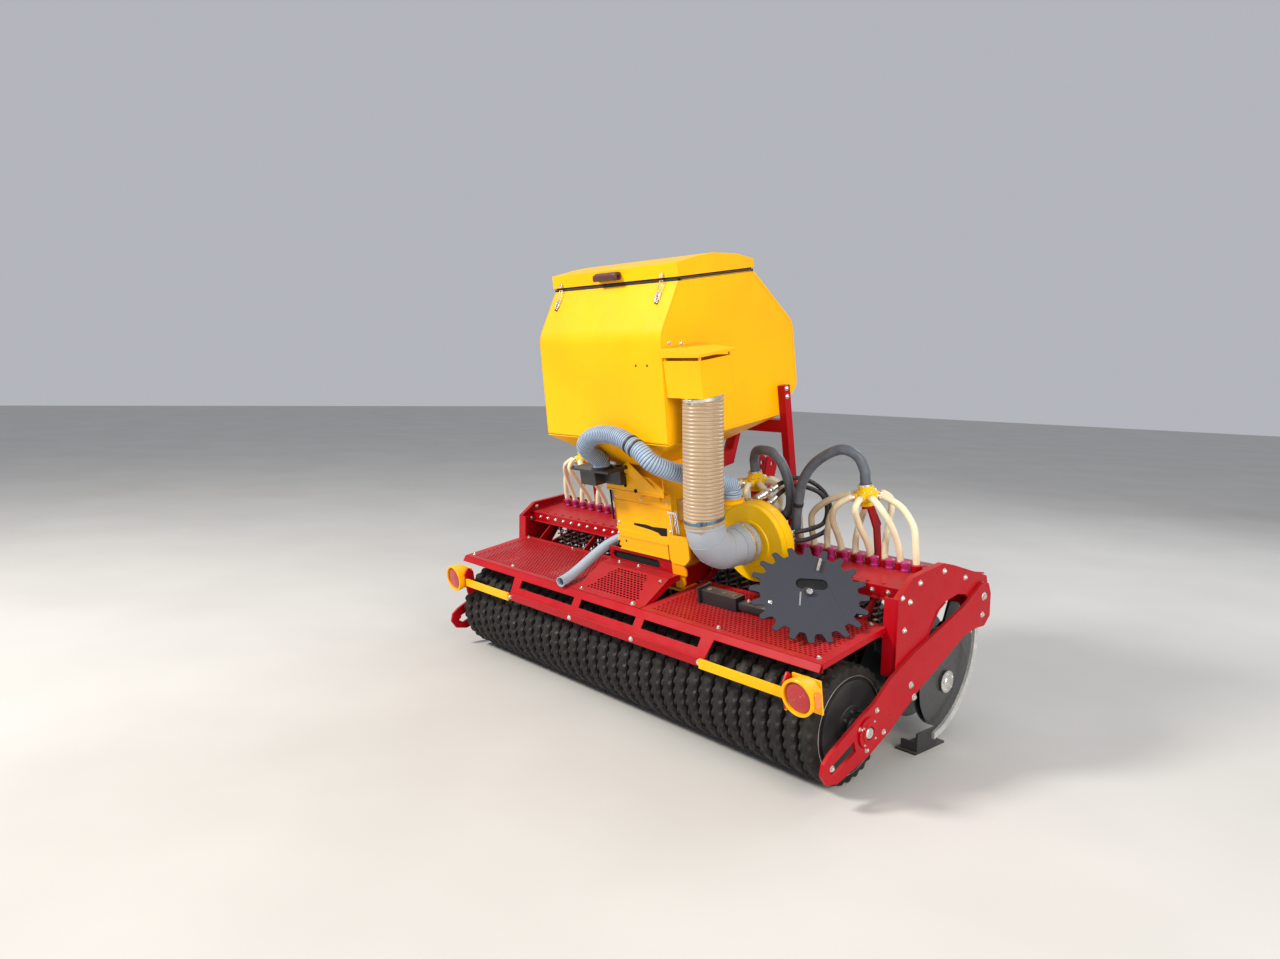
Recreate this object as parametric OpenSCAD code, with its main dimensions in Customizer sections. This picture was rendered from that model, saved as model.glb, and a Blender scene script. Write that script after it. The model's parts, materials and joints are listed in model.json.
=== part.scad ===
// Mounted pneumatic grassland seed drill with double-disc rows and a ring roller.
// Working frame: X to the machine's right, Y forward, Z up, zero on the roller's
// axle with the machine level. park() tips it to the way it stands when parked.

/* [Rows and width] */
// Rows on each side of the middle row
rows_half = 16; // [12:1:18]
// Distance between rows
row_pitch = 75; // [70:1:90]
// Distance from the last row to the end of the hood
end_margin = 60; // [50:1:90]

/* [Parking] */
// Nose-up lean when parked
park_lean = 10.39; // [6:0.01:12]
// Length of the object ahead of and behind the origin, half the difference
origin_shift = 393.52; // [300:0.01:600]

/* [Roller] */
// Outer radius of the roller rings
roller_r = 240; // [220:1:260]
// Radius of the drum that carries the rings
drum_r = 178; // [140:1:190]
// Radius of the roller's stub shafts
stub_r = 25; // [20:1:30]

/* [Discs] */
// Radius of the discs
disc_r = 200; // [180:1:205]
// Thickness of a disc
disc_t = 4; // [3:0.5:5]
// Hub of the rear row, ahead of the roller axle
rear_y = 715; // [700:1:730]
// Hub of the front row, ahead of the roller axle
front_y = 900; // [890:1:910]
// Height of the hubs
hub_z = -105; // [-110:1:-95]

/* [Hopper] */
// Half width of the hopper
hop_w = 430; // [400:1:460]
// Wall of the hopper
wall = 4; // [3:0.5:6]

/* [Hitch] */
// Radius of the lower link pins
link_pin_r = 14; // [11:0.5:18.5]
// Distance between the shoulders of the lower link pins
link_span = 825; // [800:5:850]
// Radius of the upper link bore
top_bore_r = 12.75; // [9.5:0.05:16]
// Height of the upper link over the lower links
mast_h = 610; // [460:5:650]

/* [Hidden] */

n_rows = 2*rows_half + 1;
half_w = rows_half*row_pitch + end_margin;   // end of the hood
plate_x = half_w + 30;                       // inner face of the side plates
plate_t = 12;
arm_t = 15;
RED = [0.70, 0.03, 0.05];
YEL = [0.98, 0.70, 0.04];
BLK = [0.05, 0.05, 0.06];
GREY = [0.55, 0.57, 0.60];
CREAM = [0.90, 0.86, 0.72];
ZINC = [0.75, 0.75, 0.72];
e = 0.01;

// the parked place: lean about the roller's axle, stand on the ground, origin under the middle
module park() translate([0, -origin_shift, roller_r]) rotate([park_lean, 0, 0]) children();
// extrude a (y,z) outline along X from x0 to x1
module slab(x0, x1) translate([x0, 0, 0]) rotate([90, 0, 90]) linear_extrude(x1 - x0) children();
// cylinder along X
module xcyl(x0, x1, y, z, r, fn=48) translate([x0, y, z]) rotate([0, 90, 0]) cylinder(r=r, h=x1 - x0, $fn=fn);
// box from corner to corner
module bx(a, b) translate(a) cube([b[0]-a[0], b[1]-a[1], b[2]-a[2]]);
module both() for (m = [0, 1]) mirror([m, 0, 0]) children();

// ---- swept tubes --------------------------------------------------------
function unit(v) = v/norm(v);
function tang(p, i) = let(n = len(p)) i == 0 ? unit(p[1]-p[0]) : i == n-1 ? unit(p[n-1]-p[n-2]) : unit(unit(p[i+1]-p[i]) + unit(p[i]-p[i-1]));
function fit(v, t) = unit(v - (v*t)*t);
function start_n(t) = fit(abs(t[2]) < 0.8 ? [0, 0, 1] : [1, 0, 0], t);
function frames(p) = [for (i = 0, v = start_n(tang(p, 0)); i < len(p); i = i+1, v = i < len(p) ? fit(v, tang(p, i)) : v) v];
function cat1(a, b, c, d, t) = 0.5*((2*b) + (c-a)*t + (2*a-5*b+4*c-d)*t*t + (3*b-a-3*c+d)*t*t*t);
// points between the control points on one smooth curve
function smooth(p, k) = let(n = len(p)) [for (i = [0:n-2], j = [0:k-1])
   cat1(i > 0 ? p[i-1] : 2*p[0]-p[1], p[i], p[i+1], i < n-2 ? p[i+2] : 2*p[n-1]-p[n-2], j/k), p[n-1]];
module tube(p, r, n=8) {
  f = frames(p); m = len(p);
  pts = [for (i = [0:m-1]) let(t = tang(p, i), u = f[i], w = cross(t, u)) for (a = [0:n-1]) p[i] + r*(cos(360*a/n)*u + sin(360*a/n)*w)];
  faces = concat([[for (a = [n-1:-1:0]) a]], [for (i = [0:m-2], a = [0:n-1]) [i*n+a, i*n+(a+1)%n, (i+1)*n+(a+1)%n, (i+1)*n+a]], [[for (a = [0:n-1]) (m-1)*n+a]]);
  polyhedron(pts, [for (q = faces) [for (k = [len(q)-1:-1:0]) q[k]]], convexity=6);
}

// ---- frame --------------------------------------------------------------
fb = [[800, 238], [920, 332]];       // front beam (y,z) corners
rb = [[366, 394], [426, 436]];       // rear beam corners
module pipe4(a, b, w) difference() { bx(a, b); bx([a[0]-1, a[1]+w, a[2]+w], [b[0]+1, b[1]-w, b[2]-w]); }
hang = [1.5, 8.5, 15.5];             // hangers of the row pivot, in row pitches
module front_beam() color(RED) { pipe4([-plate_x, fb[0][0], fb[0][1]], [plate_x, fb[1][0], fb[1][1]], 8);
  both() for (h = hang) slab(h*row_pitch - 4, h*row_pitch + 4) difference() {
    polygon([[880, 238], [920, 238], [935, 236], [950, 232], [1000, 200], [1004, 160], [985, 146], [960, 150], [945, 180]]); translate([975, 175]) circle(r=16, $fn=32); } }
module element_shaft() color(ZINC) xcyl(-half_w + 25, half_w - 25, 975, 175, 15.94, 32);
module rear_beam() { cross_members(); color(RED) union() { pipe4([-plate_x, rb[0][0], rb[0][1]], [plate_x, rb[1][0], rb[1][1]], 6);
  // rail that the row springs push against
  bx([-half_w, 426, 396], [half_w, 506, 404]); } }
cross_x = [2.5, 9.5, 15.5];          // in row pitches: between the seed hoses
module cross_members() color(RED) both() for (c = cross_x) slab(c*row_pitch - 8, c*row_pitch + 8)
  polygon([[426, 404], [426, 436], [640, 436], [800, 332], [800, 240], [740, 250], [560, 404]]);

plate_out = [[374, 498], [600, 490], [683, 455], [941, 329], [955, 240], [925, 140], [850, 120],
  [840, 190], [763, 300], [700, 322], [600, 322], [534, 303], [420, 190], [345, 60], [330, -5], [290, -8], [211, 132], [266, 441]];
module side_plates() { leg_stops(); side_sheets(); }
module side_sheets() color(RED) both() slab(plate_x, plate_x + plate_t) difference() {
  polygon(plate_out);
  for (q = [[299, 75], [316, 15]]) translate(q) circle(r=8, $fn=24);
}
// stops that the parking legs lean on
module leg_stops() color(RED) both() bx([leg_x, 876, 145], [plate_x, 897.5, 165]);
// pins that the parking legs hang on
module stand_pins() color(ZINC) both() { xcyl(plate_x - 56, plate_x - 0.1, 925, 200, 12); xcyl(plate_x - 60, plate_x - 52, 925, 200, 20); }
// hitch: two plates with lower link pins, and a mast of two plates
lk_y = 1120; lk_z = 90;
module link_plates() color(RED) both() slab(link_span/2 - 19.5, link_span/2 - 7.5) difference() {
    polygon([[920, 220], [920, 330], [965, 330], [1150, 135], [1160, 90], [1145, 55], [1105, 45], [960, 180]]);
    translate([lk_y, lk_z]) circle(r=20.06, $fn=48); translate([975, 175]) circle(r=20, $fn=32); }
module mast() color(RED) {
  both() slab(30, 42) difference() {
    polygon([[920, 220], [920, 330], [942, 330], [942, 560], [1010, 745], [1050, 745], [1075, 720], [1075, 675], [995, 520], [995, 220]]);
    translate([lk_y - 80, lk_z + mast_h]) circle(r=top_bore_r, $fn=48); }
  bx([-30, 975, 560], [30, 990, 640]);
  bx([-30, 945, 250], [30, 960, 330]);
}
module hitch_and_stand_pins() { stand_pins(); color(ZINC) both() { h = link_span/2;
  xcyl(h - 25.5, h - 7.4, lk_y, lk_z, 20); xcyl(h - 7.4, h, lk_y, lk_z, 28); xcyl(h, h + 2, lk_y, lk_z, 12.9); xcyl(h + 2, h + 76, lk_y, lk_z, link_pin_r); } }

hood_z = 446;                        // flat top of the hood
hood_line = [[350, 392], [350, hood_z], [640, hood_z], [936, 340], [934.6, 336.3], [639, hood_z - 4], [354, hood_z - 4], [354, 392]];
module element_hood() color(RED) {
  difference() {
    slab(-plate_x, plate_x) polygon(hood_line);
    for (i = [-rows_half:rows_half]) translate([i*row_pitch, 560, hood_z - 16]) cylinder(r=16, h=30, $fn=24);
    both() bx([427, 669, 400], [477, 721, 460]);                    // round the hopper posts
  }
  for (i = [-rows_half:rows_half]) translate([i*row_pitch, 560, hood_z]) difference() { cylinder(r=24, h=26, $fn=24); translate([0, 0, -1]) cylinder(r=16, h=40, $fn=24); }
}
// perforated walkways, left, middle and right
fbx = [[-half_w + 10, -250], [-248, 243.9], [250, half_w - 10]];
module footboards() color(RED) { middle_step();
  for (q = [fbx[0], fbx[2]]) { bx([q[0], -158, 318], [q[1], 262, 324]);
    bx([q[0], 222, 286], [q[1], 228, 318]); } }
// middle step: folded sheet that slopes up to a riser with an oval window
module middle_step() color(RED) difference() {
  slab(-248, 243.9) polygon([[-158, 286], [-158, 324], [-122, 324], [38, 400], [100, 400], [100, 466], [106, 466], [106, 395], [37, 395], [-123, 319], [-153, 319], [-153, 286]]);
  bx([-204, 98, 407], [100, 108, 449]);
  for (x = [-204, 100]) translate([x, 98, 428]) rotate([-90, 0, 0]) cylinder(r=21, h=10, $fn=48);
}
// sloping rear guard with windows over a lower rail
module rear_guard() color(RED) {
  bx([-752, -247, 196], [752, -237, 234]);
  translate([0, -162.2, 323]) rotate([233.3, 0, 0]) linear_extrude(5) difference() {
  polygon([[-half_w + 10, 0], [half_w - 10, 0], [half_w - 10, 32], [724, 32], [704, 136], [-704, 136], [-724, 32], [-half_w + 10, 32]]);
  for (w = [[-652, -205], [-150, 245], [300, 652]]) translate([w[0], 38]) square([w[1]-w[0], 42]);
} }
module rail_brackets() color(RED) for (x = [-1120, -700, -262, 244, 700, 1120]) slab(x, x + 8)
  polygon([[-140, 318], [-140, 285], [60, 262], [240, 270], [350, 345], [424, 394], [366, 394], [345, 378], [268, 326], [266, 318], [229, 318], [229, 285], [221, 285], [221, 318]]);
module light_arms() {
  for (m = [[-1, 1112], [1, 1140]]) scale([m[0], 1, 1]) { e = m[1];
    color(YEL) bx([700, -259, 196], [e, -247, 236]);
    color(RED) bx([e, -258, 150], [e + 10, -204, 262]);
    color(RED) bx([e + 10, -212, 150], [e + 140, -204, 284]); }
}
module rear_lights() color(YEL) for (p = [[-1198, -287.2, 232], [1228, -287.2, 234]]) translate(p) rotate([-90, 0, 0]) difference() {
  cylinder(r1=72, r2=60, h=75.1, $fn=48); translate([0, 0, -1]) cylinder(r=62, h=12, $fn=48); }

// ---- hopper -------------------------------------------------------------
hop = [[-50, 1056], [-27, 1520], [112, 1736], [566, 1736], [820, 1472], [820, 1170], [670, 1056]];
// inset a convex outline (given clockwise) by t
function inset(p, t) = let(n = len(p)) [for (i = [0:n-1]) let(a = p[(i+n-1)%n], b = p[i], c = p[(i+1)%n],
  u = unit(b-a), v = unit(c-b), nu = [u[1], -u[0]], nv = [v[1], -v[0]], k = t/(1 + nu*nv)) b + k*(nu + nv)];
module hopper_body() color(YEL) {
  difference() { slab(-hop_w, hop_w) polygon(hop); slab(-hop_w + wall, hop_w - wall) polygon(inset(hop, wall));
    bx([-hop_w + 40, 150, 1700], [hop_w - 40, 530, 1760]);          // filling mouth
    bx([-hop_w + wall + 2, -44, 1040], [hop_w - wall - 2, 664, 1070]); }  // open to the funnel
  lid_knuckles();
}
module hopper_funnel() color(YEL) difference() { funnel(0); funnel(wall); translate([0, 0, -1]) bx([-146, 104, 895], [146, 326, 910]); }
lid_ax = [590, 1752];
// knuckles and pins that carry the lid
module lid_knuckles() both() { slab(345, 357) polygon([[560, 1734], [598, 1700], [602, 1752], [590, 1764], [578, 1752], [576, 1736]]); xcyl(296, 345.5, lid_ax[0], lid_ax[1], 6, 32); }
module funnel(t) hull() { bx([-hop_w + t, -50 + t, 1052], [hop_w - t, 670 - t, 1055.9 + (t > 0 ? 0.01 : 0)]); bx([-150 + t, 100 + t, 905 - (t > 0 ? 0.01 : 0)], [150 - t, 330 - t, 908]); }
lid_o = [[100, 1742], [100, 1800], [229, 1817], [320, 1824], [469, 1808], [574, 1779], [574, 1742]];
module hopper_lid() color(YEL) { difference() { slab(-hop_w - 6, hop_w + 6) polygon(lid_o);
    slab(-hop_w - 2, hop_w + 2) polygon(concat([[104, 1741]], [for (k = [1:5]) inset(lid_o, 4)[k]], [[570, 1741]])); }
  // hinge ears
  both() slab(300, 340) difference() { polygon([[573, 1744], [573, 1776], [600, 1762], [604, 1752], [600, 1743], [590, 1738.5]]); translate(lid_ax) circle(r=6.06, $fn=32); } }
module lid_handle() color(BLK) difference() { bx([-84, 60, 1750], [74, 100, 1790]); bx([-72, 68, 1747], [62, 101, 1779]); }
module lid_latches() color(ZINC) for (x = [-378, 330]) slab(x, x + 22) polygon([[56, 1660], [46, 1667], [88, 1730], [92, 1744], [99, 1744], [99, 1729]]);
module hopper_posts() color(RED) {
  both() { bx([432, 674, 300], [472, 716, 1190]);
    bx([430, 678, 1120], [432, 712, 1182]);
    bx([432, 674, 300], [472, 800, 332]); }
  bx([-432, 674, 966], [432, 714, 1026]);
  both() slab(120, 180) polygon([[674, 966], [674, 1020], [600, 884], [330, 860], [330, 800], [600, 814]]);
}
// ---- air and seed system ------------------------------------------------
module intake_hood() color(YEL) {
  difference() { bx([hop_w + 0.5, -30, 1256], [hop_w + 214, 164, 1410]); bx([hop_w + 4, -26, 1250], [hop_w + 210, 160, 1420]); }
  slab_y(-40, 174) polygon([[hop_w + 0.5, 1424], [hop_w + 0.5, 1462], [hop_w + 222, 1436], [hop_w + 222, 1424]]);
  for (x = [hop_w + 4, hop_w + 200]) for (y = [-26, 150]) bx([x, y, 1400], [x + 10, y + 10, 1424]);
}
module slab_y(y0, y1) translate([0, y1, 0]) rotate([90, 0, 0]) linear_extrude(y1 - y0) children();
hose_top = [548, 62, 1252]; hose_bot = [536, 14, 712];
module intake_hose() color([0.72, 0.62, 0.48]) tube(concat([[548, 62, 1255.5], [548, 62, 1240]], [for (k = [1:9]) hose_top + (hose_bot - hose_top)*k/10], [[536, 14, 730], [536, 14, 712]]), 86, 12);
fan_c = [560, 300, 556];
module fan_elbow() color(GREY) {
  translate([536, 14 + 140, 712 - 12]) rotate([0, 90, 0]) rotate([0, 0, -90]) rotate_extrude(angle=90, $fn=64) translate([140, 0]) circle(r=82, $fn=48);
  translate([536, 154, 560]) rotate([-90, 0, 0]) cylinder(r=82, h=40, $fn=48);
  translate([536, 194, 560]) rotate([-90, 0, 0]) cylinder(r=90, h=68, $fn=48);
  translate([536, 14, 700]) cylinder(r=82, h=11.5, $fn=48);
}
module fan_housing() color(YEL) {
  translate([fan_c[0], 262, fan_c[2]]) rotate([-90, 0, 0]) cylinder(r=178, h=83, $fn=72);
  bx([fan_c[0] - 180, 345, 388], [fan_c[0] - 60, 350, 520]);       // flange on the hood's face
  bx([fan_c[0] - 178, 275, fan_c[2]], [fan_c[0] - 78, 340, 700]);   // outlet
  translate([fan_c[0] - 128, 308, 700]) cylinder(r=48, h=34, $fn=48);
  bx([fan_c[0] - 355, 290, 410], [fan_c[0] - 120, 340, 480]);       // duct to the metering unit
  bx([fan_c[0] - 30, 345, 612], [fan_c[0] + 30, 351, 700]);         // cradle of the parked couplers
}
module fan_motor() color([0.05, 0.20, 0.55]) { translate([fan_c[0], 345, fan_c[2]]) rotate([-90, 0, 0]) cylinder(r=48, h=105, $fn=48);
  bx([fan_c[0] + 40, 385, fan_c[2] - 30], [fan_c[0] + 90, 440, fan_c[2] + 44]); }
module metering_unit() color(YEL) {
  metering_base();
  slab_y(130, 330) polygon([[-150, 905], [150, 905], [205, 770], [205, 560], [-205, 560], [-205, 770]]);
  slab_y(96, 130) polygon([[-205, 770], [205, 770], [205, 800], [120, 850], [-205, 850]]);
}
module metering_base() color(YEL) { bx([-190, 120, 470], [190, 340, 560]); bx([-140, 90, 470], [200, 119.5, 540]);
  bx([-240, 122, 318], [220, 330, 400]); bx([-120, 130, 400], [120, 330, 470]);
  bx([-254, 130, 300], [244, 220, 318]);                          // foot plate between the brackets
  bx([-195, 340, 490], [195, 432, 612]);                            // air and seed manifold
  drain_spigot(); }
module drain_spigot() { d = unit(drain_pts[1] - drain_pts[0]); translate(drain_pts[0] - 62*d) rotate([0, acos(d[2]), atan2(d[1], d[0])]) cylinder(r=30, h=61.6, $fn=32); }
module metering_drive() color([0.75, 0.76, 0.78]) { bx([206, 170, 640], [262, 290, 740]); xcyl(262.5, 330, 230, 690, 42); }
module hopper_tray() color(BLK) { bx([-305, -36, 884], [-20, 96, 894]); bx([-280, 0, 806], [-166, 96, 884]); bx([-166, 60, 806], [-50, 96, 884]);
  translate([-118, 14, 894]) cylinder(r=46, h=12, $fn=48); }
tray_route = [[-118, 14, 906.3], [-118, 14, 920], [-118, 14, 932], [-116, -18, 960], [-108, -64, 996], [-80, -97, 1036], [-22, -99, 1074], [70, -99, 1094], [180, -98, 1084], [296, -98, 1034], [352, -82, 982],
 [385, -20, 938], [400, 50, 905], [418, 150, 862], [430, 240, 830], [432, 300, 800], [432, 308, 772], [432, 308, 752], [432, 308, 734.5]];
module tray_hose() color(GREY) { tube(smooth(tray_route, 3), 40, 10); }
drain_pts = [[-214, 184, 494], [-232, 172, 487.5], [-250, 160, 481], [-283, 118, 460], [-306, 65, 430], [-320, 5, 398], [-324, -55, 372], [-321, -108, 356], [-314, -150, 350.8], [-307, -184, 350.8]];
module drain_hose() color([0.66, 0.72, 0.78]) tube(smooth(drain_pts, 3), 26, 8);

head_x = [-975, -355, 355, 975];     // one distributor over each quarter
head_z = 730; head_y = 556;
module distributor_heads() color(YEL) for (x = head_x) translate([x, head_y, head_z]) {
  cylinder(r=52, h=40, $fn=48);
  translate([0, 0, 40]) cylinder(r=34, h=26, $fn=48);
  translate([0, 0, -24]) cylinder(r=30, h=24, $fn=48);
}
module head_posts() color(RED) for (x = head_x) {
  bx([x - 5, head_y + 42, hood_z + 0.2], [x + 5, head_y + 84, 590]);
  slab(x - 5, x + 5) polygon([[head_y + 42, 590], [head_y + 84, 590], [head_y + 92, 600], [head_y + 40, head_z - 24.5], [head_y - 30, head_z - 24.5], [head_y - 30, head_z - 34], [head_y + 6, head_z - 40]]);
}
// each row's hose leaves its own socket round the head and bends down to the hood;
// rows take turns behind and ahead of the head, so that neighbours don't cross
function seed_route(i) = let(m = i > 0 ? 1 : -1, w = abs(i), first = w > 8 ? 9 : i > 0 ? 1 : 0, n = w > 8 ? rows_half - 8 : 9 - first,
    hx = w > 8 ? head_x[3] : head_x[2], x = w*row_pitch, k = x - hx, j = w - first, s = (j + first) % 2 == (w > 8 ? 1 : first) ? -1 : 1,
    a = 180*(1 - (j + 0.5)/n), d = [cos(a), s*sin(a), 0], c = [hx, head_y, head_z + 18], q = 70*d[0] + 0.4*(k - 70*d[0]))
  [for (p = [c + 52.4*d, c + 66*d, c + 80*d, [hx + q + 24*d[0], head_y + 104*d[1], head_z - 18],
    [hx + k - 0.12*(k - q), head_y + 66*d[1], head_z - 92], [x, head_y + 18*d[1], head_z - 175], [x, 560, 496], [x, 560, 466], [x, 560, hood_z + 0.6]]) [m*p[0], p[1], p[2]]];
module seed_hoses() color(CREAM) for (i = [-rows_half:rows_half]) tube(smooth(seed_route(i), 2), 14, 6);
module lower_hoses() color(CREAM) for (i = [-rows_half:rows_half]) translate([i*row_pitch, 560, 155]) cylinder(r=12, h=hood_z - 156, $fn=24);
feed_r = [[195.5, 396, 524], [212, 396, 524], [230, 398, 524], [280, 424, 524], [350, 474, 524], [460, 486, 524], [570, 486, 526], [630, 486, 566], [650, 481, 640], [670, 481, 713], [702, 482, 808], [776, 490, 896], [886, 512, 952], [952, 538, 926], [974, 555, 862], [975, 556, 828], [975, 556, 812], [975, 556, 796.3]];
feed_l = [[195.5, 396, 584], [212, 396, 584], [230, 398, 584], [280, 424, 584], [350, 474, 586], [440, 486, 588], [530, 488, 600], [586, 498, 640], [604, 504, 701], [596, 504, 790], [566, 504, 868], [520, 506, 910], [466, 512, 918], [400, 530, 906], [360, 552, 862], [355, 556, 828], [355, 556, 812], [355, 556, 796.3]];
module feed_hoses() color(GREY) both() { tube(smooth(feed_r, 2), 22, 8); tube(smooth(feed_l, 2), 22, 8); }
hyd_a = [[650.3, 412, 545], [662, 412, 545], [674, 413, 545], [700, 440, 540], [714, 500, 538], [714, 600, 545], [706, 655, 600], [680, 670, 680], [640, 640, 745], [590, 577, 784], [555.2, 509.6, 773.8], [541.6, 485.8, 761.9], [528, 462, 750]];
hyd_b = [[650.3, 412, 580], [662, 412, 580], [674, 413, 580], [698, 440, 582], [714, 500, 580], [714, 590, 584], [706, 630, 640], [676, 635, 700], [630, 600, 736], [568, 562, 748], [551.6, 500.8, 729.6], [539.8, 478.9, 712.8], [528, 457, 696]];
module hydraulic_hoses() color(BLK) { tube(smooth(hyd_a, 3), 11, 8); tube(smooth(hyd_b, 3), 11, 8); }
module couple(a, b) { d = unit(b - a); translate(a + 0.4*d) rotate([0, acos(d[2]), atan2(d[1], d[0])]) { cylinder(r=13, h=55, $fn=24); translate([0, 0, 55]) cylinder(r=17, h=60, $fn=24); } }
module hose_couplers() color(ZINC) { couple([528, 462, 750], [488, 392, 715]); couple([528, 457, 696], [472, 353, 616]); }

// ---- rows ---------------------------------------------------------------
arm_rear = [[1010, 200], [1010, 150], [760, -60], [745, -135], [712, -140], [690, -235], [640, -278], [604, -270], [600, -240], [650, -120], [672, -60], [590, 20], [452, 92], [452, 150], [506, 150], [520, 155], [590, 155], [620, 110], [735, 60], [950, 216]];
arm_front = [[1010, 200], [1012, 150], [945, -60], [930, -135], [897, -140], [875, -235], [825, -278], [789, -270], [785, -240], [835, -120], [850, -60], [760, 0], [590, 60], [452, 92], [452, 150], [506, 150], [520, 155], [590, 155], [620, 130], [860, 80], [950, 216]];
module element_arms() color(BLK) {
  for (i = [-rows_half:rows_half]) { y = i % 2 == 0 ? rear_y : front_y;
    slab(i*row_pitch - 6, i*row_pitch + 6) difference() { polygon(i % 2 == 0 ? arm_rear : arm_front); translate([y, hub_z]) circle(r=12.06, $fn=32); translate([975, 175]) circle(r=16, $fn=32); } }
}
module element_springs() color(ZINC) for (i = [-rows_half:rows_half]) translate([i*row_pitch, 478, 150]) cylinder(r=21, h=246, $fn=32);
disc_half = [[0, -27], [34, -27], [44, -22], [44, -17], [disc_r - 12, -17], [disc_r, -15], [disc_r - 12, -13], [12, -13],
  [12, 13], [disc_r - 12, 13], [disc_r, 15], [disc_r - 12, 17], [44, 17], [44, 22], [34, 27], [0, 27]];
module disc_pair(x, y) translate([x, y, hub_z]) rotate([0, 90, 0]) rotate_extrude($fn=72) polygon(disc_half);
module rear_discs() color([0.18, 0.18, 0.19]) for (i = [-rows_half:2:rows_half]) disc_pair(i*row_pitch, rear_y);
module front_discs() color([0.18, 0.18, 0.19]) for (i = [-rows_half+1:2:rows_half-1]) disc_pair(i*row_pitch, front_y);

// ---- roller -------------------------------------------------------------
arm_out = [[884, 318], [930, 300], [945, 250], [930, 150], [880, 120], [790, 135], [712, 132], [358, 30], [126, -62], [-4, -96], [-200, -118], [-262, -96], [-286, -50], [-270, -8], [-232, 14], [-151, 40], [-43, 72], [60, 98], [174, 154], [343, 197], [719, 262]];
module roller_arms() color(RED) both() slab(plate_x + plate_t, plate_x + plate_t + arm_t) difference() {
  polygon(arm_out);
  circle(r=40, $fn=48);
  polygon([[-80, -44], [-85, 2], [-225, -34], [-238, -56], [-215, -78]]);
  for (q = [[299, 75], [316, 15]]) translate(q) circle(r=8, $fn=24);
}
module roller_bearings() color(BLK) both() difference() { union() { xcyl(plate_x + plate_t + 2, plate_x + plate_t + arm_t + 12, 0, 0, 39.9);
    xcyl(plate_x + plate_t + arm_t, plate_x + plate_t + arm_t + 8, 0, 0, 60); }
  xcyl(plate_x, plate_x + 60, 0, 0, stub_r + 0.05); }
drum_x = half_w - 20;
module roller_drum() color(BLK) { xcyl(-drum_x, drum_x, 0, 0, drum_r, 72); both() xcyl(drum_x - 1, plate_x + plate_t + arm_t + 4, 0, 0, stub_r); }
module roller_rings() color(BLK) for (i = [-rows_half:rows_half]) translate([i*row_pitch, 0, 0]) rotate([0, 90, 0]) rotate_extrude($fn=72)
  polygon([[drum_r + 0.3, -36], [roller_r - 34, -36], [roller_r - 10, -24], [roller_r, -9], [roller_r, 9], [roller_r - 10, 24], [roller_r - 34, 36], [drum_r + 0.3, 36]]);

// ---- loose star wheel of the seed drive, laid on the right footboard ----
star_n = 20; star_r = 245; star_c = [999, 103, 458.5];
module drive_wheel() color([0.12, 0.12, 0.14]) translate(star_c) rotate([0, 33, -29.8]) {
  linear_extrude(6) difference() { union() { circle(r=star_r - 46, $fn=72);
      for (k = [0:star_n-1]) rotate(k*360/star_n) polygon([[star_r - 52, -24], [star_r, -17], [star_r, 6], [star_r - 30, 12], [star_r - 52, 26]]); }
    circle(r=15, $fn=32); }
  translate([0, 0, -60]) difference() { cylinder(r=34, h=60, $fn=48); translate([0, 0, -1]) cylinder(r=15, h=70, $fn=32); }
}
// the seed drive's arm that the star wheel turns on
module drive_wheel_arm() color(BLK) { translate([440, 40, 324.5]) { bx([0, 0, 0], [210, 60, 60]); bx([-10, -12, 0], [0, 72, 72]); bx([210, 10, 10], [360, 50, 40]); }
  translate(star_c) rotate([0, 33, -29.8]) { translate([0, 0, -75]) cylinder(r=14.94, h=90, $fn=32); translate([0, 0, -75]) cylinder(r=26, h=14.5, $fn=32); }
  hull() { bx([770, 52, 335], [798, 88, 362]); translate(star_c) rotate([0, 33, -29.8]) translate([-30, -18, -74]) cube([40, 36, 12]); }
}

// ---- parking legs: curved flat bars with a foot -------------------------
// (leg centre, radius and pivot are in the level frame, foot on the ground line)
leg_x = plate_x - 46;
leg_c = [532, 106]; leg_r = 403; piv = [925, 200];
// a place given on the ground, seen from the level frame
module ground() rotate([-park_lean, 0, 0]) translate([0, 0, -roller_r]) children();
leg_out = concat([for (a = [-88:4:4]) leg_c + leg_r*[cos(a), sin(a)]],
  [[940, 150], [948, 168], [955, 200], [948, 222], [925, 232], [906, 222], [900, 205], [898, 170], [899, 148]],
  [for (a = [4:-4:-88]) leg_c + (leg_r - 28)*[cos(a), sin(a)]]);
module leg() color([0.80, 0.80, 0.78]) slab(leg_x, leg_x + 14) difference() { polygon(leg_out); translate(piv) circle(r=12.08, $fn=32); }
module foot() color(BLK) ground() { bx([leg_x - 100, 470, 0], [leg_x - 0.2, 700, 10]); bx([leg_x - 10, 480, 10], [leg_x - 0.2, 640, 92]); bx([leg_x - 80, 480, 10], [leg_x - 10, 492, 50]); }
module stand_left() mirror([1, 0, 0]) leg();
module stand_right() leg();
module foot_left() mirror([1, 0, 0]) foot();
module foot_right() foot();

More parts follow.
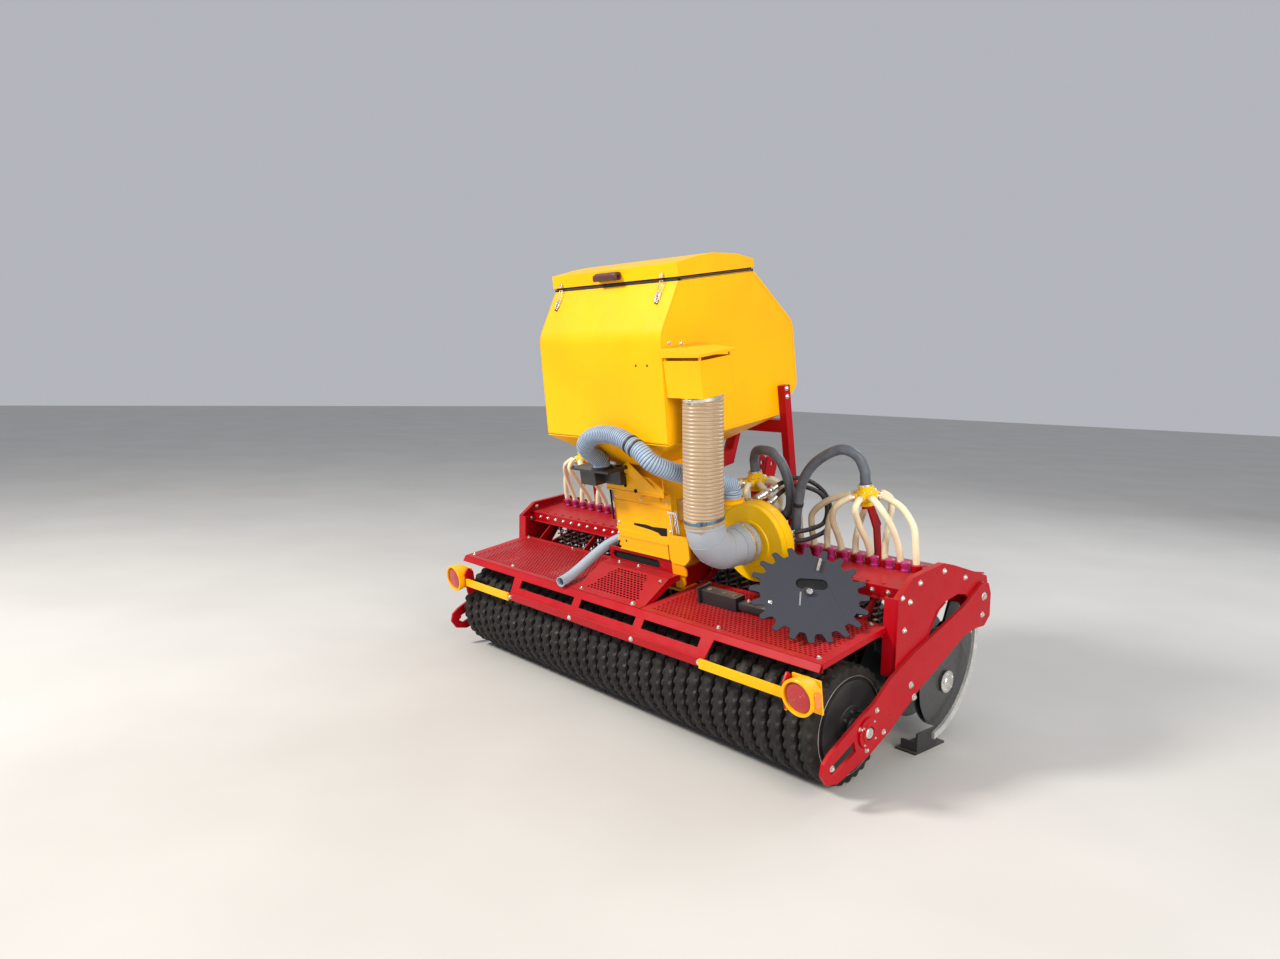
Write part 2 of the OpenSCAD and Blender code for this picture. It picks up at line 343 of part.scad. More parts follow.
park() front_beam();
park() rear_beam();
park() element_shaft();
park() side_plates();
park() mast();
park() link_plates();
park() hitch_and_stand_pins();
park() element_hood();
park() footboards();
park() rear_guard();
park() rail_brackets();
park() light_arms();
park() rear_lights();
park() hopper_posts();
park() hopper_body();
park() hopper_funnel();
park() intake_hood();
park() intake_hose();
park() fan_elbow();
park() fan_housing();
park() fan_motor();
park() metering_unit();
park() metering_drive();
park() hopper_tray();
park() tray_hose();
park() drain_hose();
park() distributor_heads();
park() head_posts();
park() feed_hoses();
park() seed_hoses();
park() lower_hoses();
park() hydraulic_hoses();
park() hose_couplers();
park() element_arms();
park() element_springs();
park() roller_arms();
park() roller_bearings();
park() drive_wheel();
park() drive_wheel_arm();
park() lid_latches();
park() hopper_lid();
park() lid_handle();
park() rear_discs();
park() front_discs();
park() roller_drum();
park() roller_rings();
park() stand_left();
park() stand_right();
park() foot_left();
park() foot_right();
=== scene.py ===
# Looks of the mounted pneumatic grassland seed drill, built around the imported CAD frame.
import bpy, json, math, random
import numpy as np
from mathutils import Vector, Matrix


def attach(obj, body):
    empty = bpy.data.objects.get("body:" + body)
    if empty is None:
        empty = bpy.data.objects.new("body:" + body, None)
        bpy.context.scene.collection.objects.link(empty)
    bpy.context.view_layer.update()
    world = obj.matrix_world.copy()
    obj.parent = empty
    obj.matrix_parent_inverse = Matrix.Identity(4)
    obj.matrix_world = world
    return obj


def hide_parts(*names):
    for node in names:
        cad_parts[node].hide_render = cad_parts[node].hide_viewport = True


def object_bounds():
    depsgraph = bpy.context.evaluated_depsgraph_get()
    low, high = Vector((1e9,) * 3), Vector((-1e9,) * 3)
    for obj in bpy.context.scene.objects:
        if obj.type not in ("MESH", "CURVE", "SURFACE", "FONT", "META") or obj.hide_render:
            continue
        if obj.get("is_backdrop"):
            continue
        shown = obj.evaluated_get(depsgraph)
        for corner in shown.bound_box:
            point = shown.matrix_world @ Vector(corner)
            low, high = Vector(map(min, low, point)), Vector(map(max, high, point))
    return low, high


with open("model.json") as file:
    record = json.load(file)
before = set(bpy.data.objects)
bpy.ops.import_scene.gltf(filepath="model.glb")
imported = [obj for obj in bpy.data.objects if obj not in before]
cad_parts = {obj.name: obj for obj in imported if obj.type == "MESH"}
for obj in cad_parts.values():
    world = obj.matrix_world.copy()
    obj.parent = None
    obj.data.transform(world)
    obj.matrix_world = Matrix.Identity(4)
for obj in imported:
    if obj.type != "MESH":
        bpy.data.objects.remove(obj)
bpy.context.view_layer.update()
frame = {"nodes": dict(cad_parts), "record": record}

NODE = frame["nodes"]
random.seed(7)

# design frame (mm, level machine) to the row frame (m, parked)
TH = math.radians(10.39); CT, ST, SHIFT = math.cos(TH), math.sin(TH), 393.52


def WA(v):
    a = np.asarray(v, float).reshape(-1, 3)
    return np.column_stack([a[:, 0], a[:, 1]*CT - a[:, 2]*ST - SHIFT, a[:, 1]*ST + a[:, 2]*CT + 240])/1000


# ---------------------------------------------------------------- camera
scene = bpy.context.scene
cam_data = bpy.data.cameras.new("camera")
cam_data.lens = 903.88*36/1280
cam_data.sensor_width = 36
cam_data.clip_start = 0.05
cam = bpy.data.objects.new("camera", cam_data)
scene.collection.objects.link(cam)
right, down, ahead = (0.66124, 0.74976, 0.02482), (0.09662, -0.05231, -0.99395), (-0.74392, 0.65964, -0.10703)
cam.matrix_world = Matrix(((right[0], -down[0], -ahead[0], 3.1928), (right[1], -down[1], -ahead[1], -3.23672),
                           (right[2], -down[2], -ahead[2], 1.5328), (0, 0, 0, 1)))
scene.camera = cam
scene.view_settings.view_transform = "Standard"
scene.view_settings.look = "None"


# ---------------------------------------------------------------- materials
def nodes_of(m):
    m.use_nodes = True
    t = m.node_tree
    t.nodes.clear()
    out = t.nodes.new("ShaderNodeOutputMaterial")
    b = t.nodes.new("ShaderNodeBsdfPrincipled")
    t.links.new(b.outputs[0], out.inputs[0])
    return t, b


class Mat:
    """Principled material with object-space noise helpers."""
    def __init__(self, name, rough=0.5, metal=0.0, coat=0.0, spec=0.5):
        self.m = bpy.data.materials.new(name)
        self.t, self.b = nodes_of(self.m)
        self.b.inputs["Metallic"].default_value = metal
        self.b.inputs["Roughness"].default_value = rough
        self.b.inputs["Coat Weight"].default_value = coat
        self.b.inputs["Coat Roughness"].default_value = 0.12
        self.b.inputs["Specular IOR Level"].default_value = spec
        self.co = self.t.nodes.new("ShaderNodeTexCoord").outputs["Object"]

    def new(self, kind, **kw):
        n = self.t.nodes.new(kind)
        for k, v in kw.items():
            setattr(n, k, v)
        return n

    def link(self, a, b):
        self.t.links.new(a, b)

    def mapped(self, scale=(1, 1, 1), rot=(0, 0, 0)):
        n = self.new("ShaderNodeMapping")
        n.inputs["Scale"].default_value = scale
        n.inputs["Rotation"].default_value = rot
        self.link(self.co, n.inputs["Vector"])
        return n.outputs[0]

    def noise(self, scale, detail=4.0, rough=0.55, dist=0.0, vec=None):
        n = self.new("ShaderNodeTexNoise")
        n.inputs["Scale"].default_value = scale
        n.inputs["Detail"].default_value = detail
        n.inputs["Roughness"].default_value = rough
        n.inputs["Distortion"].default_value = dist
        self.link(self.co if vec is None else vec, n.inputs["Vector"])
        return n.outputs["Fac"]

    def voronoi(self, scale, feature="F1", out="Distance", vec=None):
        n = self.new("ShaderNodeTexVoronoi", feature=feature)
        n.inputs["Scale"].default_value = scale
        self.link(self.co if vec is None else vec, n.inputs["Vector"])
        return n.outputs[out]

    def wave(self, scale, dist=0.0, direction="Z", vec=None):
        n = self.new("ShaderNodeTexWave", wave_type="BANDS", bands_direction=direction)
        n.inputs["Scale"].default_value = scale
        n.inputs["Distortion"].default_value = dist
        self.link(self.co if vec is None else vec, n.inputs["Vector"])
        return n.outputs["Fac"]

    def ramp(self, fac, lo, hi, a=0.0, b=1.0):
        n = self.new("ShaderNodeMapRange")
        n.inputs["From Min"].default_value = lo
        n.inputs["From Max"].default_value = hi
        n.inputs["To Min"].default_value = a
        n.inputs["To Max"].default_value = b
        self.link(fac, n.inputs["Value"])
        return n.outputs[0]

    def math(self, op, a, b):
        n = self.new("ShaderNodeMath", operation=op)
        for k, v in enumerate((a, b)):
            if isinstance(v, (int, float)):
                n.inputs[k].default_value = v
            else:
                self.link(v, n.inputs[k])
        return n.outputs[0]

    def mix(self, fac, a, b):
        n = self.new("ShaderNodeMix", data_type="RGBA")
        for sock, v in ((n.inputs["Factor"], fac), (n.inputs[6], a), (n.inputs[7], b)):
            if isinstance(v, (int, float)):
                sock.default_value = v
            elif isinstance(v, (tuple, list)):
                sock.default_value = (*v, 1)
            else:
                self.link(v, sock)
        return n.outputs[2]

    def up(self):
        g = self.new("ShaderNodeNewGeometry")
        s = self.new("ShaderNodeSeparateXYZ")
        self.link(g.outputs["Normal"], s.inputs[0])
        return s.outputs[2]

    def colour(self, c):
        self.link(c, self.b.inputs["Base Color"])

    def rough(self, r):
        self.link(r, self.b.inputs["Roughness"])

    def bump(self, height, strength=0.3, distance=0.001, prev=None):
        n = self.new("ShaderNodeBump")
        n.inputs["Strength"].default_value = strength
        n.inputs["Distance"].default_value = distance
        self.link(height, n.inputs["Height"])
        if prev is not None:
            self.link(prev, n.inputs["Normal"])
        self.link(n.outputs[0], self.b.inputs["Normal"])
        return n.outputs[0]


def sc(c, k):
    return tuple(min(1.0, v*k) for v in c)


def paint(name, col, rough=0.32, coat=0.35, dusty=0.25, warm=None, spec=0.5):
    """Powder-coated steel: slow colour drift, faint streaks, a film of dust on top faces, scuffs and orange peel."""
    m = Mat(name, rough, 0.0, coat, spec)
    drift = m.ramp(m.noise(1.7, 3), 0.35, 0.65)
    c = m.mix(drift, sc(col, 0.90), warm or sc(col, 1.05))
    streak = m.ramp(m.noise(9, 5, 0.6, 0.4, m.mapped((3.2, 3.2, 0.5))), 0.50, 0.74, 0.0, 0.10)
    c = m.mix(streak, c, sc(col, 0.70))
    scuff = m.ramp(m.noise(55, 7, 0.7, 0.6), 0.66, 0.70, 0.0, 0.35)
    c = m.mix(scuff, c, sc(col, 0.55))
    up = m.ramp(m.up(), 0.35, 1.0)
    film = m.math("MULTIPLY", up, m.ramp(m.noise(6, 6, 0.65), 0.35, 0.72, 0.05, dusty))
    c = m.mix(film, c, (0.62, 0.56, 0.47))
    m.colour(c)
    r = m.ramp(m.noise(14, 6, 0.6), 0.3, 0.7, rough - 0.07, rough + 0.12)
    m.rough(m.math("ADD", r, m.math("MULTIPLY", film, 0.6)))
    m.bump(m.noise(420, 3, 0.5), 0.12, 0.0006)
    return m.m


def zinc(name, col=(0.74, 0.73, 0.69), rough=0.34, spangle=0.0, metal=0.95):
    m = Mat(name, rough, metal, 0.0)
    c = m.mix(m.ramp(m.noise(24, 5, 0.6), 0.35, 0.68), sc(col, 0.80), sc(col, 1.12))
    if spangle:
        c = m.mix(m.ramp(m.voronoi(150, out="Color"), 0.2, 0.9, 0, spangle), c, sc(col, 0.66))
    c = m.mix(m.ramp(m.noise(70, 5, 0.7), 0.62, 0.75, 0, 0.4), c, (0.42, 0.39, 0.30))
    m.colour(c)
    m.rough(m.ramp(m.noise(40, 6, 0.65), 0.3, 0.7, rough - 0.1, rough + 0.16))
    m.bump(m.noise(260, 4), 0.15, 0.0005)
    return m.m


def plastic(name, col, rough=0.42, var=0.10, dust=0.18, grain=300, coat=0.0, sheen=None):
    m = Mat(name, rough, 0.0, coat)
    c = m.mix(m.ramp(m.noise(4.5, 4), 0.34, 0.66), sc(col, 1 - var), sc(col, 1 + var*0.7))
    c = m.mix(m.ramp(m.noise(38, 6, 0.7, 0.3), 0.60, 0.76, 0, 0.12), c, sc(col, 0.76))
    up = m.ramp(m.up(), 0.2, 1.0)
    film = m.math("MULTIPLY", up, m.ramp(m.noise(8, 6, 0.65), 0.35, 0.7, 0.02, dust))
    c = m.mix(film, c, (0.66, 0.61, 0.52))
    m.colour(c)
    m.rough(m.ramp(m.noise(20, 5), 0.3, 0.7, rough - 0.06, rough + 0.12))
    m.bump(m.noise(grain, 4, 0.6), 0.16, 0.0006)
    return m.m


def rubbery(name, col, rough=0.6, dust=0.35):
    m = Mat(name, rough, 0.0, 0.0, 0.4)
    c = m.mix(m.ramp(m.noise(12, 5, 0.6), 0.35, 0.7), sc(col, 0.75), sc(col, 1.35))
    grey = m.math("MULTIPLY", m.ramp(m.up(), -0.1, 1.0), m.ramp(m.noise(10, 7, 0.7), 0.38, 0.7, 0.0, dust))
    c = m.mix(grey, c, (0.42, 0.38, 0.32))
    m.colour(c)
    m.rough(m.ramp(m.noise(30, 5), 0.3, 0.7, rough - 0.1, rough + 0.15))
    m.bump(m.noise(180, 5, 0.65), 0.3, 0.0008)
    return m.m


def cast(name, col=(0.011, 0.0095, 0.009), rough=0.58, dust=0.07):
    """Black dipped cast iron: grainy, worn grey on the high places, soil film."""
    m = Mat(name, rough, 0.0, 0.0, 0.3)
    c = m.mix(m.ramp(m.noise(16, 6, 0.65), 0.36, 0.68), sc(col, 0.65), sc(col, 1.9))
    c = m.mix(m.ramp(m.noise(46, 6, 0.75, 0.5), 0.60, 0.72, 0, 0.45), c, (0.045, 0.036, 0.030))
    grey = m.math("MULTIPLY", m.ramp(m.up(), -0.2, 1.0), m.ramp(m.noise(9, 7, 0.7), 0.42, 0.72, 0.0, dust))
    c = m.mix(grey, c, (0.34, 0.30, 0.25))
    m.colour(c)
    m.rough(m.ramp(m.noise(33, 6, 0.65), 0.3, 0.7, rough - 0.12, rough + 0.2))
    b = m.bump(m.noise(120, 6, 0.7), 0.45, 0.0014)
    m.bump(m.noise(34, 4, 0.6), 0.25, 0.003, b)
    return m.m


def disc_steel(name):
    m = Mat(name, 0.36, 0.85)
    c = m.mix(m.ramp(m.noise(22, 5, 0.6, 0.2, m.mapped((1, 6, 6))), 0.35, 0.7), (0.115, 0.116, 0.12), (0.165, 0.166, 0.17))
    c = m.mix(m.ramp(m.noise(60, 6, 0.7), 0.66, 0.78, 0, 0.25), c, (0.20, 0.13, 0.09))
    m.colour(c)
    m.rough(m.ramp(m.noise(45, 5), 0.3, 0.7, 0.28, 0.5))
    m.bump(m.noise(200, 4), 0.12, 0.0005)
    return m.m


RED_C = (0.40, 0.0, 0.006)
YEL_C = (1.0, 0.47, 0.0)
M = {
    "red_paint": paint("red_powder_coat", RED_C, 0.34, 0.04, 0.02, spec=0.22),
    "yellow_paint": paint("yellow_powder_coat", YEL_C, 0.38, 0.05, 0.02, warm=(1.0, 0.50, 0.0), spec=0.2),
    "black_paint": paint("black_satin_paint", (0.018, 0.018, 0.020), 0.42, 0.15, 0.22),
    "zinc": zinc("zinc_plate"),
    "disc_steel": disc_steel("disc_steel"),
    "ring_iron": cast("ring_cast_iron"),
    "grey_hose": plastic("grey_blue_hose", (0.34, 0.45, 0.60), 0.40, 0.06, 0.04),
    "tan_hose": plastic("tan_hose", (0.40, 0.275, 0.165), 0.32, 0.08, 0.05, coat=0.12),
    "grey_plastic": plastic("grey_duct_plastic", (0.36, 0.40, 0.46), 0.34, 0.03, 0.03, 150),
    "feed_rubber": rubbery("dark_grey_feed_hose", (0.10, 0.115, 0.145), 0.42, 0.12),
    "cream_hose": plastic("cream_seed_hose", (0.80, 0.72, 0.50), 0.36, 0.08, 0.05, 220),
    "black_rubber": rubbery("black_hydraulic_rubber", (0.018, 0.018, 0.019), 0.5, 0.15),
    "blue_paint": paint("blue_motor_paint", (0.012, 0.055, 0.26), 0.4, 0.1, 0.15),
    "wheel_paint": paint("blue_black_wheel_paint", (0.022, 0.027, 0.046), 0.62, 0.0, 0.05, spec=0.22),
}
galv = zinc("galvanised_leg", (0.80, 0.81, 0.80), 0.38, 0.4, 0.7)
bolt_m = zinc("bolt_zinc", (0.80, 0.78, 0.74), 0.30)
chrome = zinc("chrome_latch", (0.88, 0.88, 0.90), 0.16)
seal_m = rubbery("lid_seal_rubber", (0.03, 0.022, 0.024), 0.6, 0.1)
handle_m = plastic("dark_brown_handle", (0.075, 0.022, 0.022), 0.35, 0.12, 0.12)
purple_m = plastic("magenta_plug", (0.36, 0.012, 0.12), 0.34, 0.12, 0.06, coat=0.2)
amber_m = plastic("amber_lens", (0.95, 0.20, 0.01), 0.12, 0.06, 0.03, coat=0.6)
redlens_m = plastic("red_lens", (0.42, 0.004, 0.008), 0.10, 0.08, 0.03, coat=0.7)
# paler copy of the yellow paint: painted sunlight for faces the sun lights
sunlit_yellow_m = paint("painted_sunlit_yellow", (0.98, 0.58, 0.0), 0.38, 0.05, 0.02, warm=(1.0, 0.62, 0.0), spec=0.2)
# deeper copy of the yellow paint: painted shade for faces out of the sun
shaded_yellow_m = paint("shaded_orange_yellow", (0.92, 0.34, 0.0), 0.38, 0.05, 0.03, spec=0.2)
strap_m = plastic("brown_leather_strap", (0.20, 0.075, 0.02), 0.6, 0.2, 0.1)
# near-black stand-in for openings: painted shade inside holes, slots and gaps
painted_shade_m = rubbery("painted_shade_gap", (0.006, 0.006, 0.007), 0.9, 0.0)
clampblue_m = zinc("blued_clamp", (0.16, 0.28, 0.38), 0.3)

NODE_SLOT = {s["node"]: s["material_slot"] for s in frame["record"]["subparts"]}
for n, o in NODE.items():
    mat = M.get(NODE_SLOT.get(n), M["red_paint"])
    if n in ("stand_left", "stand_right"):
        mat = galv
    if n == "lid_latches":
        mat = chrome
    if n == "lid_handle":
        mat = handle_m
    o.data.materials.clear()
    o.data.materials.append(mat)
    o.data.polygons.foreach_set("use_smooth", [True]*len(o.data.polygons))
    o.data.set_sharp_from_angle(angle=math.radians(28))


# ---------------------------------------------------------------- mesh builder (design frame, mm)
def unit(v):
    v = np.asarray(v, float)
    return v/np.linalg.norm(v)


def catmull(p, k):
    p = [np.asarray(q, float) for q in p]
    n, out = len(p), []
    for i in range(n - 1):
        a = p[i-1] if i > 0 else 2*p[0] - p[1]
        b, c = p[i], p[i+1]
        d = p[i+2] if i < n - 2 else 2*p[-1] - p[-2]
        for j in range(k):
            t = j/k
            out.append(0.5*((2*b) + (c-a)*t + (2*a-5*b+4*c-d)*t*t + (3*b-a-3*c+d)*t**3))
    return out + [p[-1]]


def resample(path, step):
    path = [np.asarray(q, float) for q in path]
    seg = [np.linalg.norm(path[i+1]-path[i]) for i in range(len(path)-1)]
    total = sum(seg)
    n = max(2, int(round(total/step)))
    out, i, acc = [], 0, 0.0
    for k in range(n + 1):
        s = total*k/n
        while i < len(seg) - 1 and acc + seg[i] < s:
            acc += seg[i]; i += 1
        out.append(path[i] + (path[i+1]-path[i])*min(1, (s-acc)/max(seg[i], 1e-9)))
    return out, total


def frames_of(p):
    n = len(p); t = []
    for i in range(n):
        a = p[min(i+1, n-1)] - p[max(i-1, 0)]
        t.append(unit(a))
    u = np.array([0, 0, 1.0]) if abs(t[0][2]) < 0.8 else np.array([1.0, 0, 0])
    out = []
    for i in range(n):
        u = unit(u - (u @ t[i])*t[i])
        out.append((t[i], u, np.cross(t[i], u)))
    return out


class Geo:
    def __init__(self):
        self.v, self.f, self.n = [], [], 0

    def add(self, vs, fs):
        o = self.n
        self.v.append(np.asarray(vs, float).reshape(-1, 3))
        self.n += len(vs)
        self.f += [tuple(i + o for i in q) for q in fs]
        return self

    def box(self, a, b):
        x0, y0, z0 = a; x1, y1, z1 = b
        return self.add([(x0, y0, z0), (x1, y0, z0), (x1, y1, z0), (x0, y1, z0), (x0, y0, z1), (x1, y0, z1), (x1, y1, z1), (x0, y1, z1)],
                        [(0, 3, 2, 1), (4, 5, 6, 7), (0, 1, 5, 4), (1, 2, 6, 5), (2, 3, 7, 6), (3, 0, 4, 7)])

    def prism(self, outline, d, fn):
        """outline: 2D points; fn(u, v, w) -> 3D point; w runs 0..d"""
        n = len(outline)
        vs = [fn(u, v, 0) for u, v in outline] + [fn(u, v, d) for u, v in outline]
        return self.add(vs, [tuple(range(n))[::-1], tuple(range(n, 2*n))] + [(i, (i+1) % n, n + (i+1) % n, n + i) for i in range(n)])

    def slab(self, x0, x1, outline):
        return self.prism(outline, 1, lambda u, v, w: (x0 + (x1-x0)*w, u, v))

    def rings(self, rings, cap=True, close=False):
        m, n = len(rings), len(rings[0])
        fs = [(i*n + a, i*n + (a+1) % n, (i+1)*n + (a+1) % n, (i+1)*n + a) for i in range(m-1) for a in range(n)]
        if close:
            fs += [((m-1)*n + a, (m-1)*n + (a+1) % n, (a+1) % n, a) for a in range(n)]
        elif cap:
            fs += [tuple(range(n))[::-1], tuple((m-1)*n + a for a in range(n))]
        return self.add([p for r in rings for p in r], fs)

    def tube(self, path, r, n=12, cap=True):
        path = [np.asarray(q, float) for q in path]
        fr = frames_of(path)
        rs = r if hasattr(r, "__len__") else [r]*len(path)
        ang = [2*math.pi*a/n for a in range(n)]
        return self.rings([[p + q*(math.cos(a)*u + math.sin(a)*w) for a in ang] for p, q, (t, u, w) in zip(path, rs, fr)], cap)

    def rod(self, p, q, r, r2=None, n=20):
        return self.tube([p, q], [r, r if r2 is None else r2], n)

    def lathe(self, c, axis, profile, n=48, close=False, start=0.0, stop=360.0):
        """profile of (radius, height along axis) revolved about the axis through c"""
        t = unit(axis)
        u = unit(np.cross(t, (1, 0, 0))) if abs(t[0]) < 0.8 else unit(np.cross(t, (0, 0, 1)))
        w = np.cross(t, u); c = np.asarray(c, float)
        ang = [math.radians(start + (stop-start)*a/n) for a in range(n)]
        return self.rings([[c + h*t + r*(math.cos(a)*u + math.sin(a)*w) for a in ang] for r, h in profile], cap=not close, close=close)

    def bolt(self, p, axis, r=9.0, h=6.0, washer=True):
        t = unit(axis); p = np.asarray(p, float)
        if washer:
            self.lathe(p, t, [(r*1.32, -1.0), (r*1.32, 1.2), (r*1.2, 1.8)], 16)
        b = 1.6 if washer else 0
        self.lathe(p, t, [(r, b - 1.0), (r, b + h*0.8), (r*0.8, b + h)], 6)
        self.lathe(p, t, [(r*0.46, b + h - 1), (r*0.46, b + h + 2.2), (r*0.36, b + h + 3)], 12)
        return self

    def torus(self, c, axis, R, r, n=48, m=10):
        return self.lathe(c, axis, [(R + r*math.cos(2*math.pi*k/m), r*math.sin(2*math.pi*k/m)) for k in range(m)], n, close=True)


def make(name, g, mat, body="machine", bevel=0.0, seg=2, replaces=(), angle=34, normals=True):
    co = WA(np.vstack(g.v))
    me = bpy.data.meshes.new(name)
    me.from_pydata(co.tolist(), [], g.f)
    me.validate()
    if normals:
        import bmesh
        bm = bmesh.new(); bm.from_mesh(me)
        bmesh.ops.recalc_face_normals(bm, faces=bm.faces)
        bm.to_mesh(me); bm.free()
    me.polygons.foreach_set("use_smooth", [True]*len(me.polygons))
    me.set_sharp_from_angle(angle=math.radians(angle))
    me.materials.append(mat)
    o = bpy.data.objects.new(name, me)
    scene.collection.objects.link(o)
    if bevel:
        b = o.modifiers.new("bevel", "BEVEL")
        b.width = bevel/1000; b.segments = seg; b.limit_method = "ANGLE"; b.angle_limit = math.radians(38); b.harden_normals = True
    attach(o, body)
    if replaces:
        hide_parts(*replaces)
    return o


# ---------------------------------------------------------------- the free cord first: light blue drain hose
drain_pts = [[-214, 184, 494], [-232, 172, 487.5], [-250, 160, 481], [-283, 118, 460], [-306, 65, 430], [-320, 5, 398],
             [-324, -55, 372], [-321, -108, 356], [-314, -150, 350.8], [-307, -184, 350.8]]
dp = catmull(drain_pts, 3)
fine, dl = resample(catmull(drain_pts, 10), 3.0)
g = Geo()
rr = [25.4 if (i % 2 == 0) else 24.8 for i in range(len(fine))]
rr[0] = rr[-1] = 25.6
fr = frames_of(fine)
ang = [2*math.pi*a/28 for a in range(28)]
rings = [[p + q*(math.cos(a)*u + math.sin(a)*w) for a in ang] for p, q, (t, u, w) in zip(fine, rr, fr)]
inner = [[p + 21.5*(math.cos(a)*u + math.sin(a)*w) for a in ang] for p, (t, u, w) in zip(fine[::-1][:26], fr[::-1][:26])]
g.rings(rings + inner, cap=True)
drain = make("drain_hose_tube", g, plastic("drain_hose_grey", (0.33, 0.41, 0.50), 0.45, 0.1, 0.05), "machine", replaces=["drain_hose"])
g = Geo()
g.lathe(fine[3], fine[4]-fine[3], [(25.2, -7), (27.6, -7), (28, -5), (28, 5), (27.6, 7), (25.2, 7)], 28)
g.rod(np.array(fine[3]) + (-4, -6, 27), np.array(fine[3]) + (6, -10, 29), 3.4, n=10)
drain_band = make("drain_hose_clamp", g, M["black_paint"], "machine", bevel=0.6)

# ---------------------------------------------------------------- hoses
def ribbed(path, r, pitch, depth, n=28, sub=6, shape="round", ends=6.0, cap=True):
    """a hose whose wall rises and falls every pitch mm; smooth cuffs at both ends"""
    pts, total = resample(path, pitch/sub)
    rs = []
    for i in range(len(pts)):
        s = total*i/(len(pts)-1)
        ph = (s/pitch) % 1
        k = math.sin(math.pi*ph)**0.7 if shape == "round" else (1.0 if 0.18 < ph < 0.82 else 0.0)
        if s < ends or s > total - ends:
            k = 0.9
        rs.append(r - depth*(1 - k))
    g = Geo()
    g.tube(pts, rs, n, cap)
    return g, pts, total


hose_top, hose_bot = np.array([548, 62, 1255.5]), np.array([536, 14, 712.0])
tan_path = catmull([hose_top, hose_top + (0, -0.5, -30), hose_top*0.5 + hose_bot*0.5 + (3, -5, 0), hose_bot + (0, 0.3, 30), hose_bot], 24)
g, tan_pts, L = ribbed(tan_path, 87.5, 15.7, 4.2, n=48, sub=8)
make("intake_hose_ribbed", g, M["tan_hose"], "machine", replaces=["intake_hose"], angle=60)
g = Geo()
g.tube(resample(tan_path, 1.4)[0], 84.2, 40, False)
# wire seen as fine pale rings in the valleys
for i in range(1, int(L/15.7)):
    k = min(len(tan_pts)-2, i*8)
    g.lathe(tan_pts[k], tan_pts[k+1]-tan_pts[k], [(83, -1.6), (85.6, -0.9), (85.6, 0.9), (83, 1.6)], 40)
make("intake_hose_wire", g, plastic("pale_hose_wire", (0.66, 0.55, 0.40), 0.3, 0.08, 0.04), "machine")
g = Geo()
up = unit(tan_pts[1]-tan_pts[0])
c0, c1 = np.array(tan_pts[6]), np.array(tan_pts[-14])
g.lathe(c0, up, [(86.5, -7), (89.6, -7), (89.6, 7), (86.5, 7)], 56, close=True)
g.rod(c0 + (-20, -90.5, 0), c0 + (26, -90.5, 2), 5, n=12)
g.box(c0 + (-8, -97, -8), c0 + (8, -86, 8))
make("intake_hose_clamp_top", g, bolt_m, "machine", bevel=0.8)
g = Geo()
g.lathe(c1, up, [(86.5, -7), (89.6, -7), (89.6, 7), (86.5, 7)], 56, close=True)
g.rod(c1 + (36, -84, 0), c1 + (74, -60, 0), 5, n=12)
g.box(c1 + (44, -86, -8), c1 + (62, -66, 8))
make("intake_hose_clamp_bottom", g, clampblue_m, "machine", bevel=0.8)

tray_route = [[-118, 14, 906.3], [-118, 14, 920], [-118, 14, 932], [-116, -18, 960], [-108, -64, 996], [-80, -97, 1036], [-22, -99, 1074], [70, -99, 1094], [180, -98, 1084], [296, -98, 1034], [352, -82, 982],
              [385, -20, 938], [400, 50, 905], [418, 150, 862], [430, 240, 830], [432, 300, 800], [432, 308, 772], [432, 308, 752], [432, 308, 734.5]]
g, tp, L = ribbed(catmull(tray_route, 8), 41, 11.4, 5.6, n=28, sub=6, ends=9)
make("tray_hose_ribbed", g, M["grey_hose"], "machine", replaces=["tray_hose"], angle=60)
g = Geo()
for s in (0.455, 0.485):
    k = int(s*len(tp))
    g.lathe(tp[k], tp[k+1]-tp[k-1], [(38, -5), (43.4, -5), (43.8, -3), (43.8, 3), (43.4, 5), (38, 5)], 32, close=True)
make("tray_hose_bands", g, M["black_rubber"], "machine", angle=50)
# dark rings in the rib valleys: painted shade in the creases between ribs
g = Geo()
for k in range(12, len(tp) - 12, 6):
    rr, ww = (40.1, 2.2) if k < 0.45*len(tp) else (38.9, 1.5)
    g.lathe(tp[k], tp[k+1]-tp[k-1], [(34, -ww), (rr, -ww), (rr, ww), (34, ww)], 28, close=True)
make("tray_hose_valley_shade", g, plastic("hose_valley", (0.09, 0.13, 0.19), 0.5, 0.1, 0.02), "machine", angle=50)

head_x, head_y, head_z, rows_half = [-975, -355, 355, 975], 556, 730, 16


def seed_route(i):
    m = 1 if i > 0 else -1
    w = abs(i)
    first = 9 if w > 8 else (1 if i > 0 else 0)
    n = rows_half - 8 if w > 8 else 9 - first
    hx = head_x[3] if w > 8 else head_x[2]
    x = w*75; k = x - hx; j = w - first
    s = -1 if (j + first) % 2 == (1 if w > 8 else first) else 1
    a = math.radians(180*(1 - (j + 0.5)/n))
    d = np.array([math.cos(a), s*math.sin(a), 0])
    c = np.array([hx, head_y, head_z + 18.0])
    q = 70*d[0] + 0.4*(k - 70*d[0])
    p = [c + 52.4*d, c + 66*d, c + 80*d, (hx + q + 24*d[0], head_y + 104*d[1], head_z - 18),
         (hx + k - 0.12*(k - q), head_y + 66*d[1], head_z - 92), (x, head_y + 18*d[1], head_z - 175), (x, 560, 496), (x, 560, 466), (x, 560, 446.6)]
    return [(m*t[0], t[1], t[2]) for t in p], np.array([m*d[0], d[1], 0]), np.array([m*c[0], c[1], c[2]])


